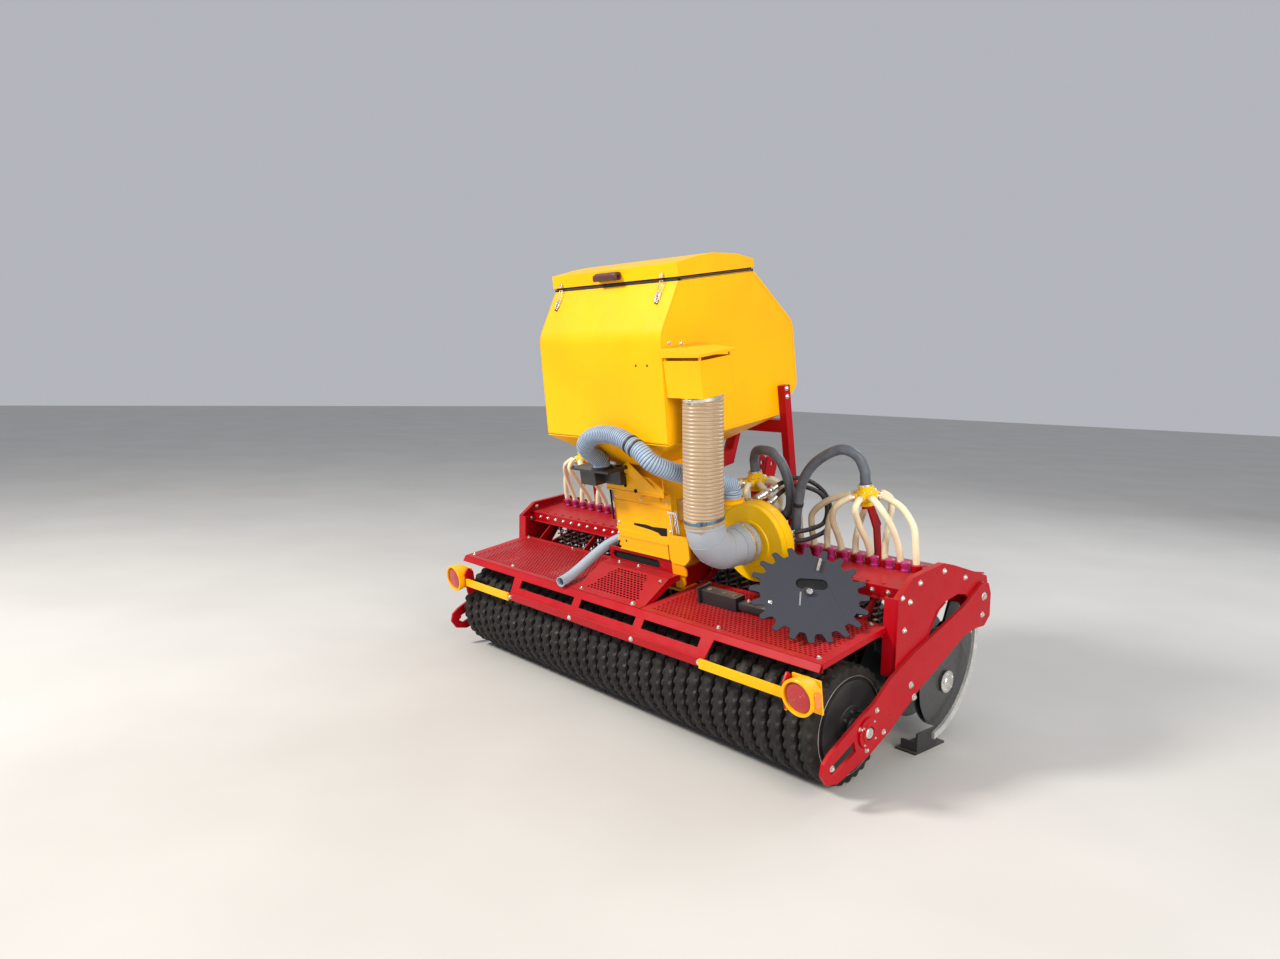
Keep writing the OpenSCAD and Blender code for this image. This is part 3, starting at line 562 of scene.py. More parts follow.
gs, gc, gcl = Geo(), Geo(), Geo()
lobes = {}
for i in range(-rows_half, rows_half + 1):
    path, d, c = seed_route(i)
    lobes.setdefault(tuple(c), []).append(d)
    pts = catmull(path, 6)
    n = len(pts)
    gs.tube([pts[0] - 8*d] + pts, [14.4]*(n + 1), 14)
    # ear clamp at the head, cuff where it enters the hood's socket
    gcl.lathe(c + 62*d, d, [(13.5, -3.5), (15.4, -3.5), (15.4, 3.5), (13.5, 3.5)], 18, close=True)
    x = i*75
    gc.lathe((x, 560, 446), (0, 0, 1), [(23.8, 24), (24.6, 24), (24.6, 30), (19, 33), (14.2, 33)], 24)
make("seed_hose_bundle", gs, M["cream_hose"], "machine", replaces=["seed_hoses"], angle=70)
make("seed_hose_clips", gcl, bolt_m, "machine", angle=50)
make("hood_socket_caps", gc, M["red_paint"], "machine", angle=50)

# scalloped distributor heads
g = Geo(); gz = Geo(); gbol = Geo()
for c, ds in lobes.items():
    c = np.array(c)
    g.lathe(c + (0, 0, -42), (0, 0, 1), [(0.5, 0), (27, 0), (30, 2), (30, 16), (40, 24), (46, 28), (46, 60), (44, 63), (38, 64), (34, 68), (33, 87.5), (29, 90), (0.5, 90)], 48)
    for d in ds:
        g.lathe(c, d, [(18.5, 34), (18.5, 51), (16, 54), (14.7, 54), (14.7, 40)], 20)
    for k in range(8):
        a = 2*math.pi*(k + 0.5)/8
        gbol.bolt(c + (39*math.cos(a), 39*math.sin(a), 21.5), (0, 0, 1), 4.2, 3.5, False)
    gz.lathe(c + (0, 0, 48), (0, 0, 1), [(27.5, -6), (31.2, -6), (31.2, 6), (27.5, 6)], 40, close=True)
    gz.rod(c + (-14, -33, 48), c + (16, -33, 48), 3.6, n=10)
# the heads take the paler copy of the yellow paint: painted sunlight
make("scalloped_heads", g, sunlit_yellow_m, "machine", bevel=0.8, replaces=["distributor_heads"])
make("head_clamps", gz, bolt_m, "machine", bevel=0.5)
make("head_screws", gbol, bolt_m, "machine")

feed_r = [[195.5, 396, 524], [212, 396, 524], [230, 398, 524], [280, 424, 524], [350, 474, 524], [460, 486, 524], [570, 486, 526], [630, 486, 566], [650, 481, 640], [670, 481, 713], [702, 482, 808], [776, 490, 896], [886, 512, 952], [952, 538, 926], [974, 555, 862], [975, 556, 828], [975, 556, 812], [975, 556, 796.3]]
feed_l = [[195.5, 396, 584], [212, 396, 584], [230, 398, 584], [280, 424, 584], [350, 474, 586], [440, 486, 588], [530, 488, 600], [586, 498, 640], [604, 504, 701], [596, 504, 790], [566, 504, 868], [520, 506, 910], [466, 512, 918], [400, 530, 906], [360, 552, 862], [355, 556, 828], [355, 556, 812], [355, 556, 796.3]]
g = Geo(); gb = Geo()
for route in (feed_r, feed_l):
    for m in (1, -1):
        p = catmull([(m*q[0], q[1], q[2]) for q in route], 8)
        g.tube(p, 22.2, 24)
        k = int(len(p)*(0.515 if route is feed_r else 0.40))
        gb.lathe(p[k], p[k+1]-p[k-1], [(21, -9), (24.2, -9), (24.6, -7), (24.6, 7), (24.2, 9), (21, 9)], 28, close=True)
make("feed_hose_set", g, M["feed_rubber"], "machine", replaces=["feed_hoses"], angle=70)
make("feed_hose_bands", gb, M["black_rubber"], "machine")

hyd_a = [[650.3, 412, 545], [662, 412, 545], [674, 413, 545], [700, 440, 540], [714, 500, 538], [714, 600, 545], [706, 655, 600], [680, 670, 680], [640, 640, 745], [590, 577, 784], [555.2, 509.6, 773.8], [541.6, 485.8, 761.9], [528, 462, 750]]
hyd_b = [[650.3, 412, 580], [662, 412, 580], [674, 413, 580], [698, 440, 582], [714, 500, 580], [714, 590, 584], [706, 630, 640], [676, 635, 700], [630, 600, 736], [568, 562, 748], [551.6, 500.8, 729.6], [539.8, 478.9, 712.8], [528, 457, 696]]
g = Geo(); gf = Geo()
for route in (hyd_a, hyd_b):
    p = catmull(route, 8)
    g.tube(p, 10.2, 16)
    for k, d in ((2, 1), (len(p) - 3, -1)):
        t = unit(np.array(p[k+1]) - p[k-1])*d
        gf.lathe(p[0] if d > 0 else p[-1], t, [(0.5, 0.2), (14, 0.2), (15.5, 2), (15.5, 14), (13, 16), (13, 34), (11.3, 36)], 20)
        gf.lathe(p[0] if d > 0 else p[-1], t, [(17, 2), (17, 12)], 6)
make("hydraulic_hose_pair", g, M["black_rubber"], "machine", replaces=["hydraulic_hoses"], angle=70)
make("hydraulic_hose_ends", gf, bolt_m, "machine", bevel=0.4)
g = Geo(); gs2 = Geo()
for a, b in (([528, 462, 750], [488, 392, 715]), ([528, 457, 696], [472, 353, 616])):
    a, b = np.array(a, float), np.array(b, float)
    t = unit(b - a)
    g.lathe(a, t, [(13.6, 6), (15, 8), (15, 20), (13.2, 22)], 6)
    g.lathe(a, t, [(13.4, 34), (18.6, 36), (18.6, 52), (17.2, 54), (17.2, 60), (18.4, 62), (18.4, 64), (17.2, 66), (17.2, 70), (18.4, 72), (18.4, 74), (17.2, 76), (17.4, 98), (18.6, 100), (18.6, 112), (16, 115), (11.5, 115.3), (10.5, 100)], 28)
    for k in range(10):
        q = 2*math.pi*k/10
        u = unit(np.cross(t, (0, 0, 1))); w = np.cross(t, u)
        g.rod(a + 44*t + 18.2*(math.cos(q)*u + math.sin(q)*w) - 6*t, a + 50*t + 18.2*(math.cos(q)*u + math.sin(q)*w), 1.4, n=6)
    gs2.lathe(a, t, [(17.6, 78), (20.4, 78.5), (20.4, 95), (17.6, 95.5)], 24, close=True)
make("coupler_sleeves", g, bolt_m, "machine")
gs2.box((505, 396, 648), (512, 414, 716))
make("coupler_strap", gs2, strap_m, "machine", bevel=1.0)


# ---------------------------------------------------------------- hood, plugs, bolts
g = Geo(); gp = Geo()
for i in range(-16, 17):
    x = i*75
    g.bolt((x, 350, 422), (0, -1, 0), 8, 5.5)
for i in range(-16, 16):
    x = (i + 0.5)*75
    gp.lathe((x, 536, 445), (0, 0, 1), [(19, 0), (19, 12), (16, 15), (16, 28), (19.5, 30), (19.5, 43), (15, 46), (0.5, 46)], 20)
for y, z in ((390, 466), (343, 407), (294, 305)):
    g.bolt((-1290, y, z), (1, 0, 0), 9, 6); g.bolt((1290, y, z), (-1, 0, 0), 9, 6)
for m in (-1, 1):
    for y, z in ((292, 440), (343, 407), (294, 305), (269, 146), (420, 462), (600, 456), (760, 378), (902, 300)):
        g.bolt((m*1302, y, z), (m, 0, 0), 9.5, 6.5)
make("hood_plugs", gp, purple_m, "machine", angle=40)
make("hood_bolts", g, bolt_m, "machine")
# ridge of low ribs and the lower return lip of the hood
g = Geo()
for i in range(-16, 16):
    x = (i + 0.5)*75
    g.lathe((x, 376, 445.5), (0, 0, 1), [(9, 0), (9, 3), (6.5, 5), (0.5, 5)], 12)
    g.lathe((x, 612, 445.5), (0, 0, 1), [(9, 0), (9, 3), (6.5, 5), (0.5, 5)], 12)
make("hood_top_rivets", g, M["red_paint"], "machine")
g = Geo()
g.box((-1286, 346.5, 392), (1286, 350.5, 396)); g.box((-1286, 340, 389), (1286, 352, 393))
for x in (-1289, 1289):
    m = 1 if x > 0 else -1
    g.slab(x - 5, x + 5, [(346, 392), (346, 449), (640, 449), (936, 343), (936, 336), (639, 441), (352, 441), (352, 392)])
make("hood_edges", g, M["red_paint"], "machine", bevel=1.4)
# folded lip round the side plates
plate_out = [(374, 498), (600, 490), (683, 455), (941, 329), (955, 240), (925, 140), (850, 120),
             (840, 190), (763, 300), (700, 322), (600, 322), (534, 303), (420, 190), (345, 60), (330, -5), (290, -8), (211, 132), (266, 441)]


def strip(g, pts, x0, x1, t, side=1):
    """a folded lip of thickness t along a (y,z) line between x0 and x1"""
    p = [np.array(q, float) for q in pts]
    out = []
    for i, q in enumerate(p):
        d = unit(p[min(i+1, len(p)-1)] - p[max(i-1, 0)])
        out.append(q + side*t*np.array([-d[1], d[0]]))
    g.slab(x0, x1, [tuple(q) for q in p] + [tuple(q) for q in out[::-1]])


g = Geo()
for m in (-1, 1):
    a, b = sorted((m*1276, m*1304))
    strip(g, [(266, 441), (374, 498), (600, 490)], a, b, 5, -1)
    a, b = sorted((m*1238, m*1304))
    g.slab(a, b, [(211, 132), (266, 441), (271, 440), (216.5, 131)])
    g.slab(*sorted((m*1238, m*1241)), [(216, 134), (271, 440), (288, 440), (233, 134)])
    strip(g, [(600, 322), (534, 303), (420, 190), (345, 60), (330, -5)], *sorted((m*1286, m*1306)), 4, 1)
make("side_plate_lips", g, M["red_paint"], "machine", bevel=1.5)

# ---------------------------------------------------------------- perforated footboards
def perforated(g, x0, x1, y0, y1, z0, z1, px, py, sx, sy):
    """a plate with staggered long slots; whole cells only, the rim is left for the frame"""
    ny = int((y1-y0)//py); yy = y0 + (y1-y0-ny*py)/2
    nx = int((x1-x0)//px); xx = x0 + (x1-x0-nx*px)/2
    def cell(cx, cy):
        hx, hy = px/2, py/2
        outer = [(-hx, -hy), (0, -hy), (hx, -hy), (hx, 0), (hx, hy), (0, hy), (-hx, hy), (-hx, 0)]
        a, b = sx/2, sy/2
        inner = [(-a + b*0.5, -b), (0, -b), (a - b*0.5, -b), (a, 0), (a - b*0.5, b), (0, b), (-a + b*0.5, b), (-a, 0)]
        vs = []
        for z in (z1, z0):
            vs += [(cx+u, cy+v, z) for u, v in outer] + [(cx+u, cy+v, z) for u, v in inner]
        fs = []
        for i in range(8):
            j = (i+1) % 8
            fs += [(i, j, 8+j, 8+i), (16+j, 16+i, 24+i, 24+j), (8+i, 8+j, 24+j, 24+i)]
        g.add(vs, fs)
    for r in range(ny):
        cy = yy + (r+0.5)*py
        off = 0.5 if r % 2 else 0.0
        for k in range(nx - (1 if off else 0)):
            cell(xx + (k+0.5+off)*px, cy)
        if off:
            for a, b in ((xx, xx + px/2), (xx + (nx-0.5)*px, xx + nx*px)):
                g.box((a, cy - py/2, z0), (b, cy + py/2, z1))
    # rim
    X0, X1, Y0, Y1 = xx, xx + nx*px, yy, yy + ny*py
    return X0, X1, Y0, Y1


def board(name, x0, x1, y0, y1, mx=34, my=26, lip=38):
    g = Geo()
    a = perforated(g, x0 + mx, x1 - mx, y0 + my, y1 - my, 320.5, 324, 24, 14.5, 18.0, 8.6)
    make(name + "_perforated", g, M["red_paint"], "machine", normals=True, angle=30)
    g = Geo()
    X0, X1, Y0, Y1 = a
    for p, q in (((x0, y0), (x1, Y0)), ((x0, Y1), (x1, y1)), ((x0, Y0), (X0, Y1)), ((X1, Y0), (x1, Y1))):
        g.box((p[0], p[1], 319), (q[0], q[1], 324))
    g.box((x0, y0, 286), (x1, y0 + 4, 321))           # rear lip
    g.box((x0, y1 - 40, 286), (x1, y1 - 34, 321))
    for x in (x0, x1 - 4):
        g.box((x, y0, 298), (x + 4, y1, 321))
    return g


for name, x0, x1, y1 in (("left_board", -1250, -250, 262), ("right_board", 250, 1250, 262)):
    g = board(name, x0, x1, -158, y1)
    make(name + "_frame", g, M["red_paint"], "machine", bevel=1.3)
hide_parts("footboards")
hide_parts("footboards")


# ---------------------------------------------------------------- rounded copies of folded-sheet CAD solids
import bmesh
from mathutils.geometry import tessellate_polygon


def soften(node, bevel=1.5, seg=2, mat=None, body="machine", name=None):
    me = NODE[node].data.copy()
    me.name = (name or node + "_rounded")
    bm = bmesh.new(); bm.from_mesh(me)
    bmesh.ops.remove_doubles(bm, verts=bm.verts, dist=2e-5)
    bmesh.ops.dissolve_limit(bm, angle_limit=math.radians(0.8), verts=bm.verts, edges=bm.edges)
    bm.to_mesh(me); bm.free()
    me.polygons.foreach_set("use_smooth", [True]*len(me.polygons))
    me.set_sharp_from_angle(angle=math.radians(34))
    if mat is not None:
        me.materials.clear(); me.materials.append(mat)
    o = bpy.data.objects.new(me.name, me)
    scene.collection.objects.link(o)
    b = o.modifiers.new("bevel", "BEVEL")
    b.width = bevel/1000; b.segments = seg; b.limit_method = "ANGLE"; b.angle_limit = math.radians(38); b.harden_normals = True
    b.use_clamp_overlap = True
    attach(o, body)
    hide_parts(node)
    return o


def plate(g, loops, w0, w1, fn):
    """a flat plate with holes: loops of (u, v), the first one outside; fn(u, v, w) gives the place"""
    flat = [q for lp in loops for q in lp]
    tris = tessellate_polygon([[Vector((u, v, 0)) for u, v in lp] for lp in loops])
    n = len(flat)
    vs = [fn(u, v, w0) for u, v in flat] + [fn(u, v, w1) for u, v in flat]
    fs = [tuple(t) for t in tris] + [tuple(i + n for i in t[::-1]) for t in tris]
    o = 0
    for lp in loops:
        m = len(lp)
        fs += [(o + i, o + (i+1) % m, n + o + (i+1) % m, n + o + i) for i in range(m)]
        o += m
    return g.add(vs, fs)


def circ(x, y, r, n=24, a0=0.0):
    return [(x + r*math.cos(a0 + 2*math.pi*k/n), y + r*math.sin(a0 + 2*math.pi*k/n)) for k in range(n)]


def rrect(x0, y0, x1, y1, r, n=6):
    out = []
    for cx, cy, a in ((x1-r, y1-r, 0), (x0+r, y1-r, 90), (x0+r, y0+r, 180), (x1-r, y0+r, 270)):
        out += [(cx + r*math.cos(math.radians(a + 90*k/n)), cy + r*math.sin(math.radians(a + 90*k/n))) for k in range(n + 1)]
    return out


def rpoly(pts, r, n=5):
    """round the corners of a closed outline"""
    out, m = [], len(pts)
    for i in range(m):
        a, b, c = (np.array(pts[k % m], float) for k in (i - 1, i, i + 1))
        u, v = unit(a - b), unit(c - b)
        half = math.acos(max(-1, min(1, float(u @ v))))/2
        d = min(r/math.tan(half), 0.45*np.linalg.norm(a - b), 0.45*np.linalg.norm(c - b))
        p, q = b + u*d, b + v*d
        for k in range(n + 1):
            t = k/n
            out.append(tuple((1-t)**2*p + 2*t*(1-t)*b + t*t*q))
    return out


for n_, bv in (("hopper_funnel", 2.0), ("intake_hood", 1.6), ("hopper_posts", 3.0), ("side_plates", 1.8),
               ("rear_beam", 3.0), ("front_beam", 3.0), ("mast", 1.8), ("link_plates", 2.0), ("metering_unit", 2.0), ("hopper_tray", 1.2),
               ("light_arms", 2.0), ("rail_brackets", 1.2), ("rear_guard", 1.2),
               ("metering_drive", 3.0), ("fan_motor", 2.5), ("hitch_and_stand_pins", 1.5), 
               ("roller_arms", 2.4), ("drive_wheel_arm", 1.5), ("element_arms", 1.5)):
    soften(n_, bv)
soften("hopper_lid", 3.2, 3, body="lid")
# the fan housing takes the paler copy of the yellow paint: painted sunlight
soften("fan_housing", 2.5, mat=sunlit_yellow_m)
_rb = soften("roller_bearings", 2.0, mat=M["red_paint"])
for _v in _rb.data.vertices:                      # a running gap round the stub shafts
    _r = math.hypot(_v.co.y + 0.39352, _v.co.z - 0.240)
    if _r < 0.0256:
        _v.co.y = -0.39352 + (_v.co.y + 0.39352)*0.0257/_r
        _v.co.z = 0.240 + (_v.co.z - 0.240)*0.0257/_r
for s_, b_ in (("left", "left_leg"), ("right", "right_leg")):
    soften("foot_" + s_, 1.5, body=b_)

# ---------------------------------------------------------------- middle step
def step_fn(x, s, n):
    """s runs up the slope from (y -122, z 324), n stands off it"""
    d = unit((160, 76))
    return (x, -122 + s*d[0] - n*d[1], 324 + s*d[1] + n*d[0])


g = Geo()
slope = math.hypot(160, 76)
px_, py_ = 24.0, 13.2
ny = int((slope - 14)//py_); s0 = 7.0
for r in range(ny):
    cy = s0 + (r + 0.5)*py_
    half = 186 - (cy/slope)*78
    nx = 20; off = 0.5 if r % 2 else 0.0
    for k in range(nx - (1 if off else 0)):
        cx = -240 + (k + 0.5 + off)*px_
        hx, hy = px_/2, py_/2
        if abs(cx + 2) < half:
            a, b = 9.0, 4.1
            outer = [(-hx, -hy), (0, -hy), (hx, -hy), (hx, 0), (hx, hy), (0, hy), (-hx, hy), (-hx, 0)]
            inner = [(-a + b*0.5, -b), (0, -b), (a - b*0.5, -b), (a, 0), (a - b*0.5, b), (0, b), (-a + b*0.5, b), (-a, 0)]
            vs = []
            for z in (0, -4.0):
                vs += [step_fn(cx+u, cy+v, z) for u, v in outer] + [step_fn(cx+u, cy+v, z) for u, v in inner]
            fs = []
            for i in range(8):
                j = (i+1) % 8
                fs += [(i, j, 8+j, 8+i), (16+j, 16+i, 24+i, 24+j), (8+i, 8+j, 24+j, 24+i)]
            g.add(vs, fs)
        else:
            g.prism([(cx-hx, cy-hy), (cx+hx, cy-hy), (cx+hx, cy+hy), (cx-hx, cy+hy)], 1, lambda u, v, w: step_fn(u, v, -4.0*w))
    if off:
        for a, b in ((-240, -240 + px_/2), (-240 + 19.5*px_, 240)):
            g.prism([(a, cy-py_/2), (b, cy-py_/2), (b, cy+py_/2), (a, cy+py_/2)], 1, lambda u, v, w: step_fn(u, v, -4.0*w))
make("middle_step_perforated", g, M["red_paint"], "machine", angle=30)
g = Geo()
for a, b in ((0, s0), (s0 + ny*py_, slope + 1)):
    g.prism([(-240, a), (240, a), (240, b), (-240, b)], 1, lambda u, v, w: step_fn(u, v, -4.6*w))
for a, b in ((-248, -240), (240, 243.9)):
    g.prism([(a, 0), (b, 0), (b, slope + 1), (a, slope + 1)], 1, lambda u, v, w: step_fn(u, v, -4.6*w))
g.box((-248, -158, 319), (243.9, -120, 324)); g.box((-248, -158, 286), (243.9, -153, 321)); g.box((-248, 36, 395), (243.9, 104, 400))
slot = [(x, z) for x, z in rrect(-225, 407, 121, 449, 21, 8)]
plate(g, [[(-248, 396), (243.9, 396), (243.9, 466), (-248, 466)], slot], 100, 106, lambda u, v, w: (u, w, v))
# folded cheeks down both sides
for x in (-248, 240):
    g.slab(x, x + 3.9, [(-122, 300), (-122, 322), (38, 397), (106, 397), (106, 372), (60, 372)])
mid = make("middle_step_frame", g, M["red_paint"], "machine", bevel=1.2)
g = Geo()
for x, y in ((-154, 78), (-18, 84)):
    g.bolt((x, y, 400), (0, 0, 1), 8.5, 6)
g.bolt((-199, -140, 324), (0, 0, 1), 8, 5); g.bolt((181, -140, 324), (0, 0, 1), 11, 8)
g.bolt((212, 10, 388), (0, 0.43, 0.9), 9, 6); g.bolt((-820, -124, 324), (0, 0, 1), 8, 5); g.bolt((-1210, -124, 324), (0, 0, 1), 8, 5)
g.bolt((700, -124, 324), (0, 0, 1), 8, 5); g.bolt((1210, -124, 324), (0, 0, 1), 8, 5)
for x in (-1190, -760, -300, 300, 760, 1190):
    g.bolt((x, 238, 324), (0, 0, 1), 8, 5)
# rear guard and its rail
for x in (-690, -180, 270, 690):
    g.bolt((x, -247, 215), (0, -1, 0), 9, 6)
make("board_bolts", g, bolt_m, "machine")

# ---------------------------------------------------------------- hopper: seal, seams, latches, handle
g = Geo()
for a, b in (((-424, 108), (424, 116)), ((-424, 560), (424, 568)), ((-424, 116), (-416, 560)), ((416, 116), (424, 560))):
    g.box((a[0], a[1], 1735.5), (b[0], b[1], 1741.8))
make("lid_seal", g, seal_m, "machine", bevel=1.2)
g = Geo()
hop = [(-50, 1056), (-27, 1520), (112, 1736), (566, 1736), (820, 1472), (820, 1170), (670, 1056)]
ctr = np.array((350, 1390))
hop_r = [10, 150, 14, 22, 90, 70, 10]


def round_each(pts, radii, n=10):
    out, m = [], len(pts)
    for i in range(m):
        a, b, c = (np.array(pts[k % m], float) for k in (i - 1, i, i + 1))
        u, v = unit(a - b), unit(c - b)
        d = radii[i]/math.tan(math.acos(float(u @ v))/2)
        p, q = b + u*d, b + v*d
        out += [tuple((1-k/n)**2*p + 2*k/n*(1-k/n)*b + (k/n)**2*q) for k in range(n + 1)]
    return out


sheet = round_each(hop, hop_r)


def inward(pts, t):
    out, m = [], len(pts)
    for i in range(m):
        a, b, c = (np.array(pts[k % m], float) for k in (i - 1, i, i + 1))
        d1, d2 = unit(b - a), unit(c - b)
        nn = unit(np.array((d1[1], -d1[0])) + np.array((d2[1], -d2[0])))
        if (ctr - b) @ nn < 0:
            nn = -nn
        out.append(tuple(b + nn*t))
    return out


inner_sheet = inward(sheet, 3.0)
gh = Geo()
for i in range(len(sheet)):
    j = (i + 1) % len(sheet)
    a, b, c, d = sheet[i], sheet[j], inner_sheet[j], inner_sheet[i]
    if abs(a[1] - 1736) < 0.5 and abs(b[1] - 1736) < 0.5 and abs(a[0] - b[0]) > 200:
        continue
    if a[1] < 1058 and b[1] < 1058 and abs(a[0] - b[0]) > 200:
        continue
    gh.slab(-429.5, 429.5, [a, b, c, d])
plate(gh, [[(-429.5, 120), (429.5, 120), (429.5, 555), (-429.5, 555)], rrect(-390, 150, 390, 530, 12, 5)], 1733, 1736, lambda u, v, w: (u, v, w))
for x0_, x1_ in ((-430, -427), (427, 430)):
    gh.slab(x0_, x1_, sheet)
for m in (-1, 1):
    gh.slab(*sorted((m*345, m*357)), [(560, 1734), (598, 1700), (602, 1752), (590, 1764), (578, 1752), (576, 1736)])
    gh.rod((m*296, 590, 1752), (m*346, 590, 1752), 6, n=24)
make("hopper_sheets", gh, M["yellow_paint"], "machine", replaces=["hopper_body"], angle=24)


def along(i, j, off):
    a, b = np.array(hop[i], float), np.array(hop[j], float)
    d = unit(b - a); n = np.array((-d[1], d[0]))
    if (ctr - a) @ n < 0:
        n = -n
    return a, b, d, n


# weld beads where the side sheets meet the wrapped sheet
for x in (-430, 430):
    for i in range(len(hop)):
        a, b, d, n = along(i, (i + 1) % len(hop), 0)
        pa, pb = a + 9*n + 10*d, b + 9*n - 10*d
        L_ = np.linalg.norm(pb - pa); m_ = max(2, int(L_/7))
        pts = [(x, *(pa + (pb - pa)*k/m_)) for k in range(m_ + 1)]
        g.tube(pts, [1.5 if k % 2 else 2.2 for k in range(m_ + 1)], 6)
make("hopper_weld_beads", g, M["yellow_paint"], "machine", angle=60)
g = Geo()
# collar under the lid, on the hopper's top edge
for x0, x1, y0, y1 in ((-431.5, 431.5, 104, 114), (-431.5, 431.5, 562, 571), (-431.5, -424, 104, 571), (424, 431.5, 104, 571)):
    g.box((x0, y0, 1724), (x1, y1, 1735.8))
make("hopper_collar", g, seal_m, "machine", bevel=1.6)
# dark discs in the two drilled holes: painted shade inside the holes
g = Geo()
for x, z in ((261, 1391), (333, 1391)):
    y = -50 + (z - 1056)*23/464
    g.lathe((x, y - 0.4, z), (0, -1, 0.05), [(0.4, 0.6), (4.6, 0.6), (5.6, 0)], 14)
make("hopper_hole_shade", g, painted_shade_m, "machine")
g = Geo()
for y, z in ((-8, 1300), (130, 1340), (-8, 1440), (130, 1440)):
    g.bolt((430, y, z), (1, 0, 0), 6.5, 4.5)
for y, z in ((16, 1478), (84, 1468)):
    g.bolt((430, y, z), (1, 0, 0), 7, 5)
for m in (-1, 1):
    for z in (1138, 1176):
        g.bolt((m*472, 690, z), (m, 0, 0), 9, 6)
make("hopper_bolts", g, bolt_m, "machine")


def toggle(x):
    """over-centre latch: base plate, wire bail and lever on the slanted rear face, and a small tip block"""
    g, gd = Geo(), Geo()
    d = unit((0, 139, 216)); n = np.array((0, -216, 139))/np.linalg.norm((216, 139))
    o = np.array((x + 11, 56.0, 1649.0))
    def at(u, s, h):
        return o + (u, 0, 0) + d*s + n*h
    def blk(gg, u0, u1, s0_, s1_, h0, h1):
        vs = [at(u, s, h) for h in (h0, h1) for s in (s0_, s1_) for u in (u0, u1)]
        gg.add(vs, [(0, 1, 3, 2), (4, 6, 7, 5), (0, 4, 5, 1), (2, 3, 7, 6), (0, 2, 6, 4), (1, 5, 7, 3)])
    blk(g, -12, 12, 0, 44, 0.2, 2.6)
    blk(g, -12, -9.6, 4, 40, 2, 10); blk(g, 9.6, 12, 4, 40, 2, 10)
    blk(g, -8.5, 8.5, -8, 36, 5.5, 8.0)
    g.rod(at(-13, 30, 7), at(13, 30, 7), 2.6, n=12)
    for u in (-10.4, 10.4):
        g.tube([at(u, 28, 9), at(u, 60, 10.5), at(u, 88, 15)], 2.1, 10)
    g.rod(at(-10.4, 88, 15), at(10.4, 88, 15), 2.1, n=10)
    blk(gd, -6, 6, -14, -7, 4.5, 9.5)
    for s in (8, 20):
        gd.lathe(at(0, s, 8), n, [(3.2, -0.5), (3.2, 1.4), (2.2, 2.2)], 12)
    return g, gd


gl, gd = Geo(), Geo()
for x in (-378, 330):
    a, b = toggle(x)
    for src, dst in ((a, gl), (b, gd)):
        for v, in zip(src.v):
            pass
        dst.add(np.vstack(src.v), src.f)
make("toggle_latches", gl, chrome, "machine", bevel=0.5, replaces=["lid_latches"])
make("latch_tips", gd, handle_m, "machine", bevel=0.5)
g = Geo()
for x in (-367, 341):
    g.prism(rpoly([(96, 1744), (96, 1762), (92.5, 1762), (88, 1753), (92.5, 1744)], 1.2), 1, lambda u, v, w, x=x: (x - 9 + 18*w, u, v))
make("lid_catches", g, chrome, "lid", bevel=0.5)
g = Geo()
prof = rpoly([(99, 1752), (99, 1788), (80, 1790), (63, 1781), (60, 1762), (66, 1753), (71, 1757), (71, 1773), (84, 1780), (91, 1778), (91, 1752)], 4, 4)
xs = [-84, -82.5, -76, -64, 54, 66, 72.5, 74]
sc_ = [0.80, 0.93, 1.0, 1.0, 1.0, 1.0, 0.93, 0.80]
g.rings([[(x, 99 + (u - 99)*k, 1771 + (v - 1771)*k) for u, v in prof] for x, k in zip(xs, sc_)])
g.box((-78, 95, 1753), (-64, 99.6, 1787)); g.box((54, 95, 1753), (68, 99.6, 1787))
make("lid_grip", g, handle_m, "lid", bevel=0.8, replaces=["lid_handle"], angle=40)
# lid: pressed rim
g = Geo()
for a, b in (((-436.5, 99.2, 1742), (436.5, 101.5, 1747)), ((-436.8, 101, 1742), (-434.5, 573, 1747)), ((434.5, 101, 1742), (436.8, 573, 1747))):
    g.box(a, b)
make("lid_rim_hem", g, M["yellow_paint"], "lid", bevel=0.9)

# ---------------------------------------------------------------- intake, elbow, fan
g = Geo()
prof = [(84, -16), (91, -16), (93, -14), (93, -4), (91, -2), (88, -2), (88, 3)]
g.lathe((548, 62, 1259), (0, 0, 1), [(84, -4), (95, -4), (95, 0), (90, 1), (90, 5), (84, 5)], 56)
make("intake_collar", g, M["yellow_paint"], "machine")
arc = [(536, 14, 711.5), (536, 14, 706)] + [(536, 154 - 140*math.cos(math.radians(a)), 700 - 140*math.sin(math.radians(a))) for a in range(0, 91, 5)] + \
      [(536, 168, 560), (536, 190, 560), (536, 194, 560), (536, 200, 560), (536, 258, 560), (536, 262, 560)]
rad = [82.4, 83.2] + [83.0 + 1.8*math.sin(math.radians(2*a)) for a in range(0, 91, 5)] + [83, 83, 88.5, 90.4, 90.4, 88.5]
g = Geo()
g.tube(arc, rad, 64)
k0 = len(arc)
for y, r0, h in ((186, 86.5, 5), (206, 91.8, 4), (246, 91.8, 4)):
    g.lathe((536, y, 560), (0, 1, 0), [(82, -h), (r0, -h), (r0 + 0.9, -h + 1.2), (r0 + 0.9, h - 1.2), (r0, h), (82, h)], 64, close=True)
g.lathe((536, 14, 704), (0, 0, 1), [(80, -5), (86, -5), (87, -3.5), (87, 3.5), (86, 5), (80, 5)], 64, close=True)
for a in (22, 45, 68):
    c_, s_ = math.cos(math.radians(a)), math.sin(math.radians(a))
    g.lathe((536, 154 - 140*c_, 700 - 140*s_), (0, s_, -c_), [(83, -1.3), (85.6, -0.8), (85.6, 0.8), (83, 1.3)], 64, close=True)
make("elbow_duct", g, M["grey_plastic"], "machine", replaces=["fan_elbow"], angle=32)
g = Geo()
g.lathe((536, 226, 560), (0, 1, 0), [(89, -7), (92.2, -7), (92.2, 7), (89, 7)], 64, close=True)
